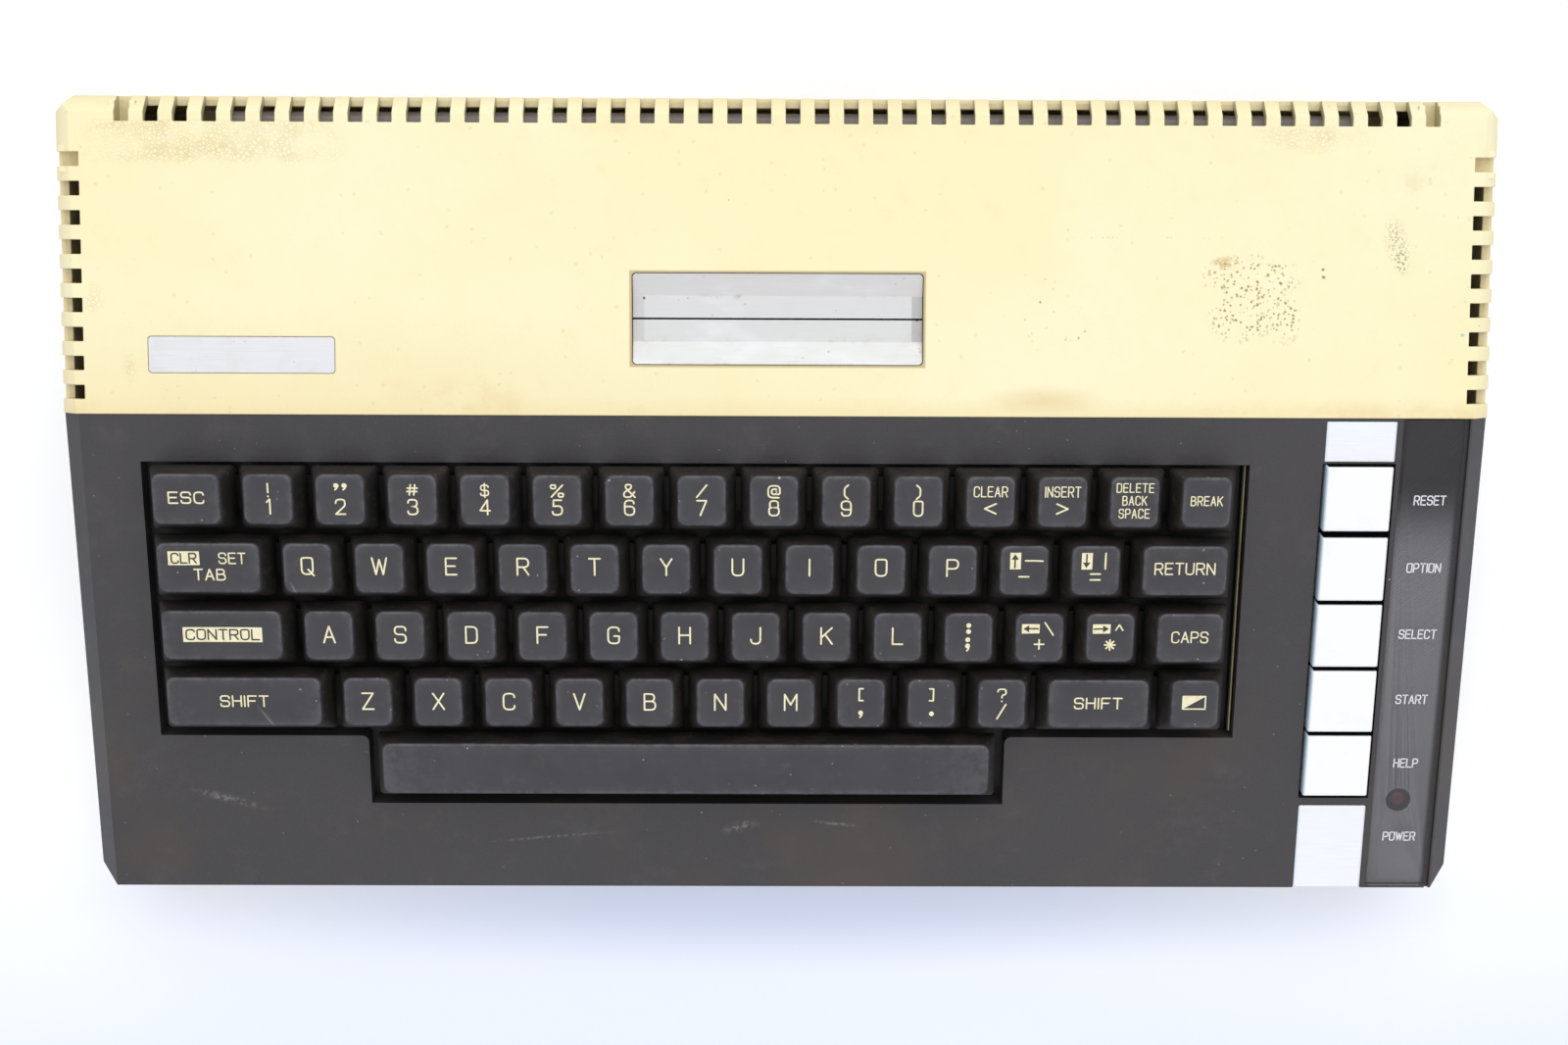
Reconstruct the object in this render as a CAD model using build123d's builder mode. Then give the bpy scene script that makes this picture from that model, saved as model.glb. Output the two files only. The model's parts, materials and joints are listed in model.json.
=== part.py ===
from build123d import *
import os
from math import cos, radians, sin, sqrt, tan

os.makedirs("parts", exist_ok=True)

# Vintage home computer. X runs to the right, Y to the rear and Z up from the table, millimetres.
# The origin lies on the table under the middle of the case.

# Case. Its width and depth follow from the keyboard, the console keys and these margins round them
left_margin = 20.2  # left side of the case to the key well
console_margin = 19.44  # key well to the channel of the console keys
strip_margin = 1.45  # that channel to the legend strip
right_margin = 5.3  # groove beside the strip to the right side of the case
front_margin = 25.24  # bay of the space bar to the front edge, down the slope
deck_height = 58.0  # table to the flat rear deck
deck_depth = 83.3  # seam to rear face
slope_angle = 11.0  # keyboard slope, falling to the front
seam_step = 0.5  # the deck stands this much over the keyboard slope
wall = 2.6
parting_height = 24.5  # table to the line between upper and lower housings
deck_bevel = 4.2
bezel_bevel = 4.8
base_bevel = 3.0
rear_corner = (4.9, 4.4)  # plan cut of the rear corners, across and along
front_corner = (4.7, 5.9)
foot_height = 2.5
foot_radius = 7.0
foot_inset = (29.0, 24.0)  # from the case sides to the foot centres

# Vents
vent_pitch = 7.62
vent_width = 3.81
vent_reach = 6.8  # from the outer face into the deck
vent_depth = 6.4
vent_floor = 1.6  # backing of the blind end slots
vent_margin = 17.0  # case sides to the row of rear vents, at least
side_vent_inset = 16.6  # rear face to the rearmost, blind side slot
side_vent_front = 4.0  # seam to the row of side vents, at least

# Cartridge slot
slot_length = 76.9
slot_width = 24.3
slot_centre = 25.6  # seam to slot centre line
slot_radius = 1.2
door_gap = 0.3
door_split = 0.5
door_drop = 0.5  # deck to the outer edge of a door
door_valley = 1.7  # fall from that edge to the flat middle
door_thick = 1.4
door_slope = 5.8  # width of the sloping part
hinge_drop = 4.2  # deck to the hinge line
hinge_offset = 3.2  # slot edge to the hinge line
barrel = 1.8  # thickness of the door's hinge leg
door_neck = 0.4  # how much thicker the leg is where it meets the flap
hinge_pin_radius = 1.0
hinge_pin_length = 1.6
running_clearance = 0.05
swing_clearance = 0.65  # open door to the floor of its pocket
chute_wall = 1.8
chute_side = 1.75  # hinge line to the inside of the chute
cartridge_length = 71.0
cartridge_thick = 22.0
connector_length = 66.0
connector_width = 9.0
connector_height = 15.0
connector_slot = (60.0, 2.4, 7.0)

# Nameplate
plate_size = (49.0, 9.5)
plate_margin = 23.8  # left side of the case to the plate
plate_seam = 10.95  # seam to the near edge of the plate
plate_thick = 0.9
plate_recess = 1.0
plate_corner = 0.6
plate_gap = 0.15

# Keyboard
key_pitch = 19.05
row_start = 22.7  # seam to the middle of the first row, down the slope
key_gap = 1.2
cap_base = 0.6  # slope surface to the lower edge of a cap
cap_height = 9.4
cap_wall = 1.2
cap_top_wall = 1.6
cap_side_lean = 2.55
cap_front_lean = 4.15
cap_rear_lean = -0.1
cap_corner = 1.1
cap_dish = 0.35
scoop_share = 0.6  # part of a cap's half width that slopes into the scoop
space_extra = 0.75
stem_width = 5.4
stem_tip = -10.0  # height of the stem's end over the slope surface
well_gap_left = 1.9
well_gap_right = 3.3
well_gap_rear = 0.1
well_gap_front = 2.2
bay_gap_side = 2.0
bay_gap_front = 2.6
bay_radius = 2.0
well_skirt = 3.6  # depth of the well's own wall under the bezel
well_skirt_wall = 1.6
frame_top = -6.7
frame_thick = 1.8
frame_margin = 6.6  # well edge to the edge of the guide frame
guide_height = 2.6
guide_wall = 1.7
guide_clearance = 0.4
flange_gap = 0.5
flange_thick = 0.8
flange_top = -2.9
board_drop = -14.4  # top of the key switch board
board_thick = 1.6
frame_post = 6.0
post_gap = 0.4  # wall of the well to the posts beside it
frame_overhang = (1.5, 5.0, 4.0)  # guide frame past the channel, past the well and past the bay
board_setback = (4.0, 1.0)  # switch board inside the frame's rear and front edges

# Console keys
console_key = (17.9, 18.0)
console_first = 22.1
console_step = 19.75  # reset key to option key
console_pitch = 19.15  # between the others
console_rise = 2.0
console_body = 3.5  # below the slope surface
console_wall = 1.6
console_edge = 0.5
channel_side_gap = 0.8
channel_rear_gap = 0.5
channel_front_gap = 1.3
trim_width = 18.8
trim_thick = 1.0
trim_gap = 0.15
trim_start = 1.0  # seam to the rear trim
trim_rib = 0.5  # rear trim to the channel
trim_land = 2.3  # channel to the front trim

# Legend strip and lamp
strip_width = 16.5
strip_start = 0.4
strip_end_gap = 1.0
strip_rise = 0.8
strip_recess = 1.4
strip_gap = 0.1
strip_bevel_left = 0.7
strip_bevel_right = 1.6
groove_width = 1.1
groove_depth = 1.3
lamp_inset = 7.4  # left edge of the strip to the lamp
lamp_step = 11.4  # last console key to the lamp
lamp_radius = 2.5
lamp_hole = 3.45
lamp_drop = 0.3  # underside of the strip to the lamp's face
lamp_flange = 9.0
lamp_flange_thick = 1.6

# Fastenings
round_sides = 8  # facets of the small screws and their holes
boss_meet = 14.0  # table to the joint between upper and lower bosses
boss_size = 8.0
lower_boss = 9.2
screw_radius = 1.6
screw_head_radius = 3.1
screw_head = 2.2
screw_length = 19.0
screw_clearance = 0.3
pilot_spare = 2.0  # pilot hole past the screw's tip
head_recess = 4.0  # underside to the screw head's seat
rear_boss_inset = (14.6, 12.4)  # from the side and from the rear face
middle_boss_x = -14.0
middle_boss_inset = 18.9
front_boss_inset = (26.6, 11.4)

# Main board and what stands on it
board_seat = 1.4  # case floor to the underside of the board
board_side = 14.6  # case sides to the board
board_front_inset = 20.9
board_rear_inset = 12.9
boss_notch = 6.5
large_chip = (52.0, 15.0)
large_chip_inset = 63.0  # sides of the board to the middle of its large chips
large_chip_rows = (78.0, 102.0)  # from the front of the board
small_chip = (36.0, 9.0)
small_chip_x = 61.0
small_chip_row = 75.0
chip_height = 4.0
seat_inset = (12.0, 20.0)  # edges of the board to its seats
floor_slots = 9
floor_slot_length = 45.0
floor_slot_inset = 49.0  # front of the board to the middle of the slots
shield_side = 25.0  # sides of the board to the shield
shield_front_inset = 33.0
shield_headroom = 3.4  # shield to the key switch board over it
modulator_room = 4.9  # shield to the modulator behind it
shield_sheet = 0.9
shield_gap = 1.0

# Port bays
bay_depth = 9.0
bay_left_inset = 31.6  # left side of the case to the rear bay
bay_right_inset = 26.6
side_bay_depth = 6.5
side_bay_inset = 28.9  # front of the case to the side bay
side_bay_length = 74.0
side_bay_floor = 6.3
side_bay_roof = 19.6
port_gap = 0.4
din_radius = 6.8
din_depth = 9.0
din_body = (17.5, 16.0, 16.2)
monitor_inset = 113.0  # from the right end of the rear bay
inlet_inset = 53.0  # from its left end
peripheral_inset = 149.0  # from its right end
peripheral_size = (34.0, 12.6)
peripheral_wall = 1.6
peripheral_rise = 2.4
peripheral_flange = 2.0
peripheral_body = 13.0
peripheral_lift = 0.5  # board to the lower edge of the socket
bus_inset = 51.0  # from the right end of the rear bay
bus_opening = (74.0, 9.6)
bus_height = 14.5
bus_cover_margin = 2.2
bus_cover_thick = 1.6
bus_cover_lip = 2.2
modulator_inset = 91.0  # from the left end of the rear bay
modulator_size = (44.0, 24.0, 16.0)
jack_radius = 4.15
jack_bore = 1.6
jack_length = 8.0
jack_nut = 5.2
jack_opening = 11.6
channel_inset = 122.0  # from the left end of the rear bay
slider_size = (4.0, 3.2)
slider_travel = 4.5
slider_rise = 2.6
slider_tail = 5.0
switch_body = (15.0, 6.0, 9.0)
rocker_inset = 20.0  # from the left end of the rear bay
rocker_size = (12.0, 13.8)
rocker_angle = 9.0
rocker_depth = 7.0
rocker_pin = 1.2
rocker_rise = 1.6  # bay wall to the rocker's ridge
rocker_web = 0.4  # plastic behind the pin
pin_end_gap = 0.4
rocker_room = 1.2  # opening above and below the rocker
cheek = 1.8
controller_insets = (20.0, 54.0)  # from the front end of the side bay
controller_height = 13.0
shell_size = (18.9, 10.6)  # outside of the D-shaped metal shell
shell_wall = 0.9
shell_lean = 1.6
shell_rise = 5.8
shell_depth = 7.0
flange_size = (31.0, 12.4)
flange_body = 9.0

# Worked out from the sizes above, first down the slope and then across it
row_units = 15.25  # key pitches in a full row
well_rear = row_start - key_pitch / 2 - well_gap_rear
well_front = row_start + 3.5 * key_pitch + well_gap_front
bay_front = row_start + 4.5 * key_pitch + space_extra + bay_gap_front
slope_length = bay_front + front_margin
well_width = row_units * key_pitch + well_gap_left + well_gap_right
channel_half = console_key[0] / 2 + channel_side_gap
console_column = console_margin + 2 * channel_half + strip_margin + strip_width
case_width = left_margin + well_width + console_column + groove_width + right_margin
case_depth = deck_depth + slope_length * cos(radians(slope_angle))
side_face = case_width / 2
rear_face = case_depth / 2
front_face = -case_depth / 2
seam = rear_face - deck_depth
well_left = -side_face + left_margin
well_right = well_left + well_width
key_left = well_left + well_gap_left
console_centre = well_right + console_margin + channel_half
strip_left = console_centre + channel_half + strip_margin
strip_right = strip_left + strip_width
channel_rear = console_first - console_key[1] / 2 - channel_rear_gap
console_rows = [console_first] + [console_first + console_step + i * console_pitch for i in range(4)]
channel_front = console_rows[-1] + console_key[1] / 2 + channel_front_gap
rear_trim = (trim_start, channel_rear - trim_rib)
front_trim = channel_front + trim_land
lamp_place = (strip_left + lamp_inset, console_rows[-1] + lamp_step)
frame_left = well_left - frame_margin
frame_right = console_centre + channel_half + frame_overhang[0]
frame_rear = well_rear - frame_overhang[1]
frame_front = bay_front + frame_overhang[2]

# Heights, the keyboard slope, and what stands under the deck
slope_run = tan(radians(slope_angle))
slope_top = deck_height - seam_step
front_edge = slope_top - (case_depth - deck_depth) * slope_run
slope = Plane(
    origin=(0, seam, slope_top),
    x_dir=(1, 0, 0),
    z_dir=(0, -sin(radians(slope_angle)), cos(radians(slope_angle))),
)
slope_axis = Axis((0, 0, 0), tuple(slope.z_dir))
inner_bevel = deck_bevel - wall * (2 - sqrt(2))
floor_top = foot_height + wall
board_underside = floor_top + board_seat
board_top = board_underside + board_thick
slot_y = seam + slot_centre
hinge_y = slot_width / 2 + hinge_offset
hinge_z = deck_height - hinge_drop
plate_x = -side_face + plate_margin + plate_size[0] / 2
plate_y = seam + plate_seam + plate_size[1] / 2
rear_vents = int((case_width - 2 * vent_margin) / vent_pitch) + 1
side_vents = int((deck_depth - side_vent_inset - side_vent_front) / vent_pitch) + 1
pilot_depth = foot_height + head_recess + screw_length + pilot_spare - boss_meet
upper_bosses = [(x, front_face + front_boss_inset[1]) for x in (front_boss_inset[0] - side_face, 0)]
upper_bosses.append((side_face - front_boss_inset[0], front_face + front_boss_inset[1]))
rear_bosses = [
    (rear_boss_inset[0] - side_face, rear_face - rear_boss_inset[1]),
    (middle_boss_x, rear_face - middle_boss_inset),
    (side_face - rear_boss_inset[0], rear_face - rear_boss_inset[1]),
]
foot_places = [
    (x * (side_face - foot_inset[0]), y * (rear_face - foot_inset[1])) for x in (-1, 1) for y in (-1, 1)
]

# Main board and its shield
board_width = case_width - 2 * board_side
board_front = front_face + board_front_inset
board_rear = rear_face - board_rear_inset
large_chips = [
    (side * (board_width / 2 - large_chip_inset), board_front + row)
    for side in (-1, 1)
    for row in large_chip_rows
]
small_chips = [(side * small_chip_x, board_front + small_chip_row) for side in (-1, 1)]
floor_slot_y = board_front + floor_slot_inset
shield_width = board_width - 2 * shield_side
shield_front = board_front + shield_front_inset
key_board_under = slope_top + (shield_front - seam) * slope_run
key_board_under += (board_drop - board_thick) / cos(radians(slope_angle))
shield_height = key_board_under - shield_headroom - board_top

# Sockets, switches and ports in the two bays
bay_wall = rear_face - bay_depth
port_face = bay_wall - wall - port_gap
din_face = bay_wall + port_gap
port_height = board_top + din_body[2] / 2
peripheral_z = board_top + peripheral_size[1] / 2 + peripheral_lift
bay_left = -side_face + bay_left_inset
bay_right = side_face - bay_right_inset
rocker_x = bay_left + rocker_inset
inlet_x = bay_left + inlet_inset
modulator_x = bay_left + modulator_inset
shield_rear = port_face - modulator_size[1] - modulator_room
channel_x = bay_left + channel_inset
peripheral_x = bay_right - peripheral_inset
monitor_x = bay_right - monitor_inset
bus_x = bay_right - bus_inset
rocker_pivot_y = port_face - rocker_depth / 2
side_wall = side_face - side_bay_depth
side_port_face = side_wall - wall - port_gap
side_bay = (front_face + side_bay_inset, front_face + side_bay_inset + side_bay_length)
controller_places = [side_bay[0] + inset for inset in controller_insets]

# Keys: name, row, centre in key pitches from the left edge, width in pitches
digit_caps = [(f"digit_{(i + 1) % 10}", 0, 1.75 + i, 1) for i in range(10)]
symbol_caps = [
    ("less_than", 0, 11.75, 1),
    ("greater_than", 0, 12.75, 1),
    ("minus", 1, 12.25, 1),
    ("equals", 1, 13.25, 1),
    ("semicolon", 2, 11.5, 1),
    ("plus", 2, 12.5, 1),
    ("asterisk", 2, 13.5, 1),
    ("comma", 3, 10, 1),
    ("full_stop", 3, 11, 1),
    ("slash", 3, 12, 1),
]
function_caps = [
    ("escape", 0, 0.625, 1.25),
    ("delete", 0, 13.75, 1),
    ("break", 0, 14.75, 1),
    ("tab", 1, 0.875, 1.75),
    ("control", 2, 1, 2),
    ("caps", 2, 14.625, 1.25),
    ("inverse", 3, 14.75, 1),
]
letter_caps = (
    [(letter, 1, 2.25 + i, 1) for i, letter in enumerate("qwertyuiop")]
    + [(letter, 2, 2.5 + i, 1) for i, letter in enumerate("asdfghjkl")]
    + [(letter, 3, 3 + i, 1) for i, letter in enumerate("zxcvbnm")]
)
wide_caps = [
    ("return_key", 1, 14.5, 1.5),
    ("left_shift_key", 3, 1.25, 2.5),
    ("right_shift_key", 3, 13.375, 1.75),
]
space_cap = ("space_bar", 4, 7.507, 9)
console_names = ("reset_key", "option_key", "select_key", "start_key", "help_key")
all_caps = digit_caps + symbol_caps + function_caps + letter_caps + wide_caps + [space_cap]
space_x = key_left + space_cap[2] * key_pitch
bay_half = space_cap[3] * key_pitch / 2 + bay_gap_side


def on_slope(x, s, h=0.0):
    # A plane parallel to the keyboard slope: x across, s down the slope from the seam, h above it
    return Plane(origin=slope.from_local_coords((x, -s, h)), x_dir=slope.x_dir, z_dir=slope.z_dir)


def slope_rectangle(left, right, rear, front, mode=Mode.ADD):
    with Locations(((left + right) / 2, -(rear + front) / 2)):
        Rectangle(right - left, front - rear, mode=mode)


def row_s(row):
    # Middle of a row of caps, down the slope; the space bar is a little deeper than the others
    return row_start + row * key_pitch + (space_extra / 2 if row == 4 else 0)


def cap_place(cap):
    # The middle of a cap's lower edge, as a plane on the slope
    name, row, centre, units = cap
    return on_slope(key_left + centre * key_pitch, row_s(row), cap_base)


def save(piece, name):
    piece.label = name
    export_step(piece, f"parts/{name}.step")


def plan_outline(inset=0.0):
    # The case seen from above, its four corners cut, drawn in by inset
    with BuildSketch() as outline:
        with BuildLine():
            Polyline(
                (-side_face, front_face + front_corner[1]),
                (-side_face, rear_face - rear_corner[1]),
                (-side_face + rear_corner[0], rear_face),
                (side_face - rear_corner[0], rear_face),
                (side_face, rear_face - rear_corner[1]),
                (side_face, front_face + front_corner[1]),
                (side_face - front_corner[0], front_face),
                (-side_face + front_corner[0], front_face),
                close=True,
            )
        make_face()
        if inset:
            offset(amount=-inset, kind=Kind.INTERSECTION, mode=Mode.REPLACE)
    return outline.sketch


def rear_block(inset, overrun, bevel):
    # Bevelled block over the deck; the inner one runs on past the seam and the parting line
    with BuildPart() as block:
        with BuildSketch(Plane.XY.offset(parting_height - overrun)):
            with Locations((0, seam - overrun)):
                Rectangle(
                    case_width - 2 * inset,
                    deck_depth - inset + overrun,
                    align=(Align.CENTER, Align.MIN),
                )
        extrude(amount=deck_height - inset - parting_height + overrun)
        top_edges = block.faces().sort_by(Axis.Z)[-1].edges()
        chamfer(top_edges.sort_by(Axis.Y)[1:], bevel)
        with BuildSketch(Plane.XY):
            add(plan_outline(inset))
        extrude(amount=2 * deck_height, mode=Mode.INTERSECT)
    return block.part


def bezel_block(inset, overrun, bevel):
    # Wedge under the keyboard slope, its two side edges bevelled
    rise = overrun * slope_run
    drop = inset / cos(radians(slope_angle))
    front = front_face + inset
    with BuildPart() as block:
        with BuildSketch(Plane.YZ):
            with BuildLine():
                Polyline(
                    (seam + overrun, parting_height - overrun),
                    (seam + overrun, slope_top + rise - drop),
                    (front, front_edge + inset * slope_run - drop),
                    (front, parting_height - overrun),
                    close=True,
                )
            make_face()
        extrude(amount=side_face - inset, both=True)
        chamfer(block.edges().filter_by(Axis((0, 0, 0), tuple(slope.y_dir))), bevel)
        with BuildSketch(Plane.XY):
            add(plan_outline(inset))
        extrude(amount=2 * deck_height, mode=Mode.INTERSECT)
    return block.part


def make_rear_cover():
    blind_side = rear_face - side_vent_inset
    side_middle = blind_side - (side_vents - 1) / 2 * vent_pitch
    blind_rear = (rear_vents - 1) / 2 * vent_pitch
    backing = vent_width + 2 * vent_floor
    backing_reach = vent_reach + vent_floor - wall / 2
    with BuildPart() as cover:
        add(rear_block(0, 0, deck_bevel))
        add(rear_block(wall, wall, inner_bevel), mode=Mode.SUBTRACT)
        # Backing behind the four blind slots at the rear corners
        with BuildSketch(Plane.XY.offset(deck_height - vent_depth - vent_floor)):
            for x in (-blind_rear, blind_rear):
                with Locations((x, rear_face - wall / 2)):
                    Rectangle(backing, backing_reach, align=(Align.CENTER, Align.MAX))
            for side in (-1, 1):
                with Locations((side * (side_face - wall / 2 - backing_reach / 2), blind_side)):
                    Rectangle(backing_reach, backing)
        extrude(amount=vent_depth + vent_floor - wall / 2)
        # Notches through the bevel, down into the wall
        with BuildSketch(Plane.XY.offset(deck_height - vent_depth)):
            with Locations((0, rear_face - vent_reach / 2 + 0.5)):
                with GridLocations(vent_pitch, 0, rear_vents, 1):
                    Rectangle(vent_width, vent_reach + 1)
            for side in (-1, 1):
                with Locations((side * (side_face - vent_reach / 2 + 0.5), side_middle)):
                    with GridLocations(0, vent_pitch, 1, side_vents):
                        Rectangle(vent_reach + 1, vent_width)
        extrude(amount=vent_depth, mode=Mode.SUBTRACT)
        # Cartridge opening
        with BuildSketch(Plane.XY.offset(deck_height - wall)):
            with Locations((0, slot_y)):
                RectangleRounded(slot_length, slot_width, slot_radius)
        extrude(amount=wall, mode=Mode.SUBTRACT)
        # Nameplate recess
        with BuildSketch(Plane.XY.offset(deck_height - plate_recess)):
            with Locations((plate_x, plate_y)):
                plate_outline(plate_gap)
        extrude(amount=plate_recess, mode=Mode.SUBTRACT)
        # Shelf that roofs the rear port bay
        with BuildSketch(Plane.XY.offset(parting_height)):
            with Locations(((bay_left + bay_right) / 2, rear_face - wall / 2)):
                Rectangle(
                    bay_right - bay_left + 2 * wall, bay_depth + wall / 2, align=(Align.CENTER, Align.MAX)
                )
        extrude(amount=wall)
        # Bosses for the case screws
        for place in rear_bosses:
            with BuildSketch(Plane.XY.offset(boss_meet)):
                with Locations(place):
                    Rectangle(boss_size, boss_size)
            extrude(amount=deck_height - wall / 2 - boss_meet)
        with BuildSketch(Plane.XY.offset(boss_meet)):
            with Locations(*rear_bosses):
                RegularPolygon(screw_radius + running_clearance, round_sides)
        extrude(amount=pilot_depth, mode=Mode.SUBTRACT)
    save(cover.part, "rear_cover")


def well_sketch(grow=0.0):
    # Key well with the space bar's bay in front of it
    slope_rectangle(well_left - grow, well_right + grow, well_rear - grow, well_front + grow)
    slope_rectangle(space_x - bay_half - grow, space_x + bay_half + grow, well_front, bay_front + grow)


def make_front_bezel():
    with BuildPart() as bezel:
        add(bezel_block(0, 0, bezel_bevel))
        add(bezel_block(wall, wall, inner_bevel), mode=Mode.SUBTRACT)
        # The wall that runs down round the key well
        with BuildSketch(on_slope(0, 0, -wall / 2)):
            well_sketch(well_skirt_wall)
        extrude(amount=-(wall / 2 + well_skirt))
        with BuildSketch(on_slope(0, 0)) as well:
            well_sketch()
            step_corners = well.vertices().group_by(Axis.Y)[1]
            fillet(step_corners.sort_by(Axis.X)[1:3], bay_radius)
        extrude(amount=-(wall + well_skirt), mode=Mode.SUBTRACT)
        # Channel of the console keys
        with BuildSketch(on_slope(0, 0)):
            slope_rectangle(
                console_centre - channel_half, console_centre + channel_half, channel_rear, channel_front
            )
        extrude(amount=-2 * wall, mode=Mode.SUBTRACT)
        # Posts that carry the guide frame
        with BuildSketch(on_slope(0, 0, frame_top)):
            for x, s in frame_posts():
                with Locations((x, -s)):
                    Rectangle(frame_post, frame_post)
        extrude(amount=-frame_top - wall / 2)
        # Bosses for the case screws
        for x, y in upper_bosses:
            with BuildSketch(Plane.XY.offset(boss_meet)):
                with Locations((x, y)):
                    Rectangle(boss_size, boss_size)
            extrude(amount=slope_top - (seam - y) * slope_run - wall / 2 - boss_meet)
        # Seats of the two trim plates
        trim_half = trim_width / 2 + trim_gap
        with BuildSketch(on_slope(0, 0)):
            slope_rectangle(
                console_centre - trim_half,
                console_centre + trim_half,
                rear_trim[0] - trim_gap,
                rear_trim[1] + trim_gap,
            )
            slope_rectangle(
                console_centre - trim_half,
                console_centre + trim_half,
                front_trim - trim_gap,
                slope_length + 1,
            )
        extrude(amount=-trim_thick, mode=Mode.SUBTRACT)
        # Seat of the legend strip, the groove beside it and the lamp's hole
        with BuildSketch(on_slope(0, 0)):
            slope_rectangle(
                strip_left - strip_gap, strip_right, strip_start - strip_gap,
                slope_length - strip_end_gap + strip_gap,
            )
        extrude(amount=-strip_recess, mode=Mode.SUBTRACT)
        with BuildSketch(on_slope(0, 0)):
            slope_rectangle(strip_right, strip_right + groove_width, -1, slope_length + 1)
        extrude(amount=-groove_depth, mode=Mode.SUBTRACT)
        with BuildSketch(on_slope(*lamp_place)):
            Circle(lamp_hole)
        extrude(amount=-2 * wall, mode=Mode.SUBTRACT)
        with BuildSketch(Plane.XY.offset(boss_meet)):
            with Locations(*upper_bosses):
                RegularPolygon(screw_radius + running_clearance, round_sides)
        extrude(amount=pilot_depth, mode=Mode.SUBTRACT)
    save(bezel.part, "front_bezel")


def frame_posts():
    # Where the bezel's posts meet the guide frame, in x and down the slope
    left = well_left - well_skirt_wall - frame_post / 2 - post_gap
    right = well_right + well_skirt_wall + frame_post / 2 + post_gap
    front = (well_front + bay_front) / 2
    return [
        (left, well_rear + key_pitch),
        (left, well_front - key_pitch),
        (right, well_rear + key_pitch),
        (right, well_front - key_pitch),
        (space_x - bay_half - key_pitch, front),
        (space_x + bay_half + key_pitch, front),
    ]


def plate_outline(grow):
    # The nameplate from above, its corners cut, and its recess when it is grown
    half_width = plate_size[0] / 2 + grow
    half_depth = plate_size[1] / 2 + grow
    points = []
    for x, y in ((1, 1), (-1, 1), (-1, -1), (1, -1)):
        across = (x * (half_width - plate_corner), y * half_depth)
        along = (x * half_width, y * (half_depth - plate_corner))
        points += [along, across] if x * y > 0 else [across, along]
    Polygon(*points, align=None)


def make_nameplate():
    with BuildPart() as plate:
        with BuildSketch(Plane.XY.offset(deck_height - plate_recess)):
            with Locations((plate_x, plate_y)):
                plate_outline(0)
        extrude(amount=plate_thick)
    save(plate.part, "nameplate")


def door_part():
    # The rear door, a bent flap with its barrel under the deck, hinged on the line (hinge_y, hinge_z)
    edge = hinge_offset + door_gap
    mid = edge + door_slope
    tip = hinge_offset + slot_width / 2 - door_split / 2
    top = hinge_drop - door_drop
    flat = top - door_valley
    with BuildPart() as door:
        with BuildSketch(Plane.YZ.offset(-slot_length / 2 + door_gap)):
            with BuildLine():
                Polyline(
                    (-edge, top),
                    (-mid, flat),
                    (-tip, flat),
                    (-tip, flat - door_thick),
                    (-mid, flat - door_thick),
                    (-edge - door_thick, top - door_thick - door_neck),
                    (-edge - door_thick, -barrel / 2),
                    (barrel / 2, -barrel / 2),
                    (barrel / 2, barrel / 2),
                    (-edge, barrel / 2),
                    close=True,
                )
            make_face()
        extrude(amount=slot_length - 2 * door_gap)
        corners = door.edges().filter_by(Axis.Z).sort_by(Axis.Z)[-2:]
        chamfer(corners, slot_radius * 0.6)
        with BuildSketch(Plane.YZ.offset(-slot_length / 2 + door_gap - hinge_pin_length)):
            Circle(hinge_pin_radius)
        extrude(amount=slot_length - 2 * door_gap + 2 * hinge_pin_length)
    return door.part


def make_doors():
    flap = door_part()
    with BuildPart() as rear_door:
        add(flap.moved(Location((0, slot_y + hinge_y, hinge_z))))
    save(rear_door.part, "cartridge_door_rear")
    with BuildPart() as front_door:
        add(mirror(flap, Plane.XZ, mode=Mode.PRIVATE).moved(Location((0, slot_y - hinge_y, hinge_z))))
    save(front_door.part, "cartridge_door_front")


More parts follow.
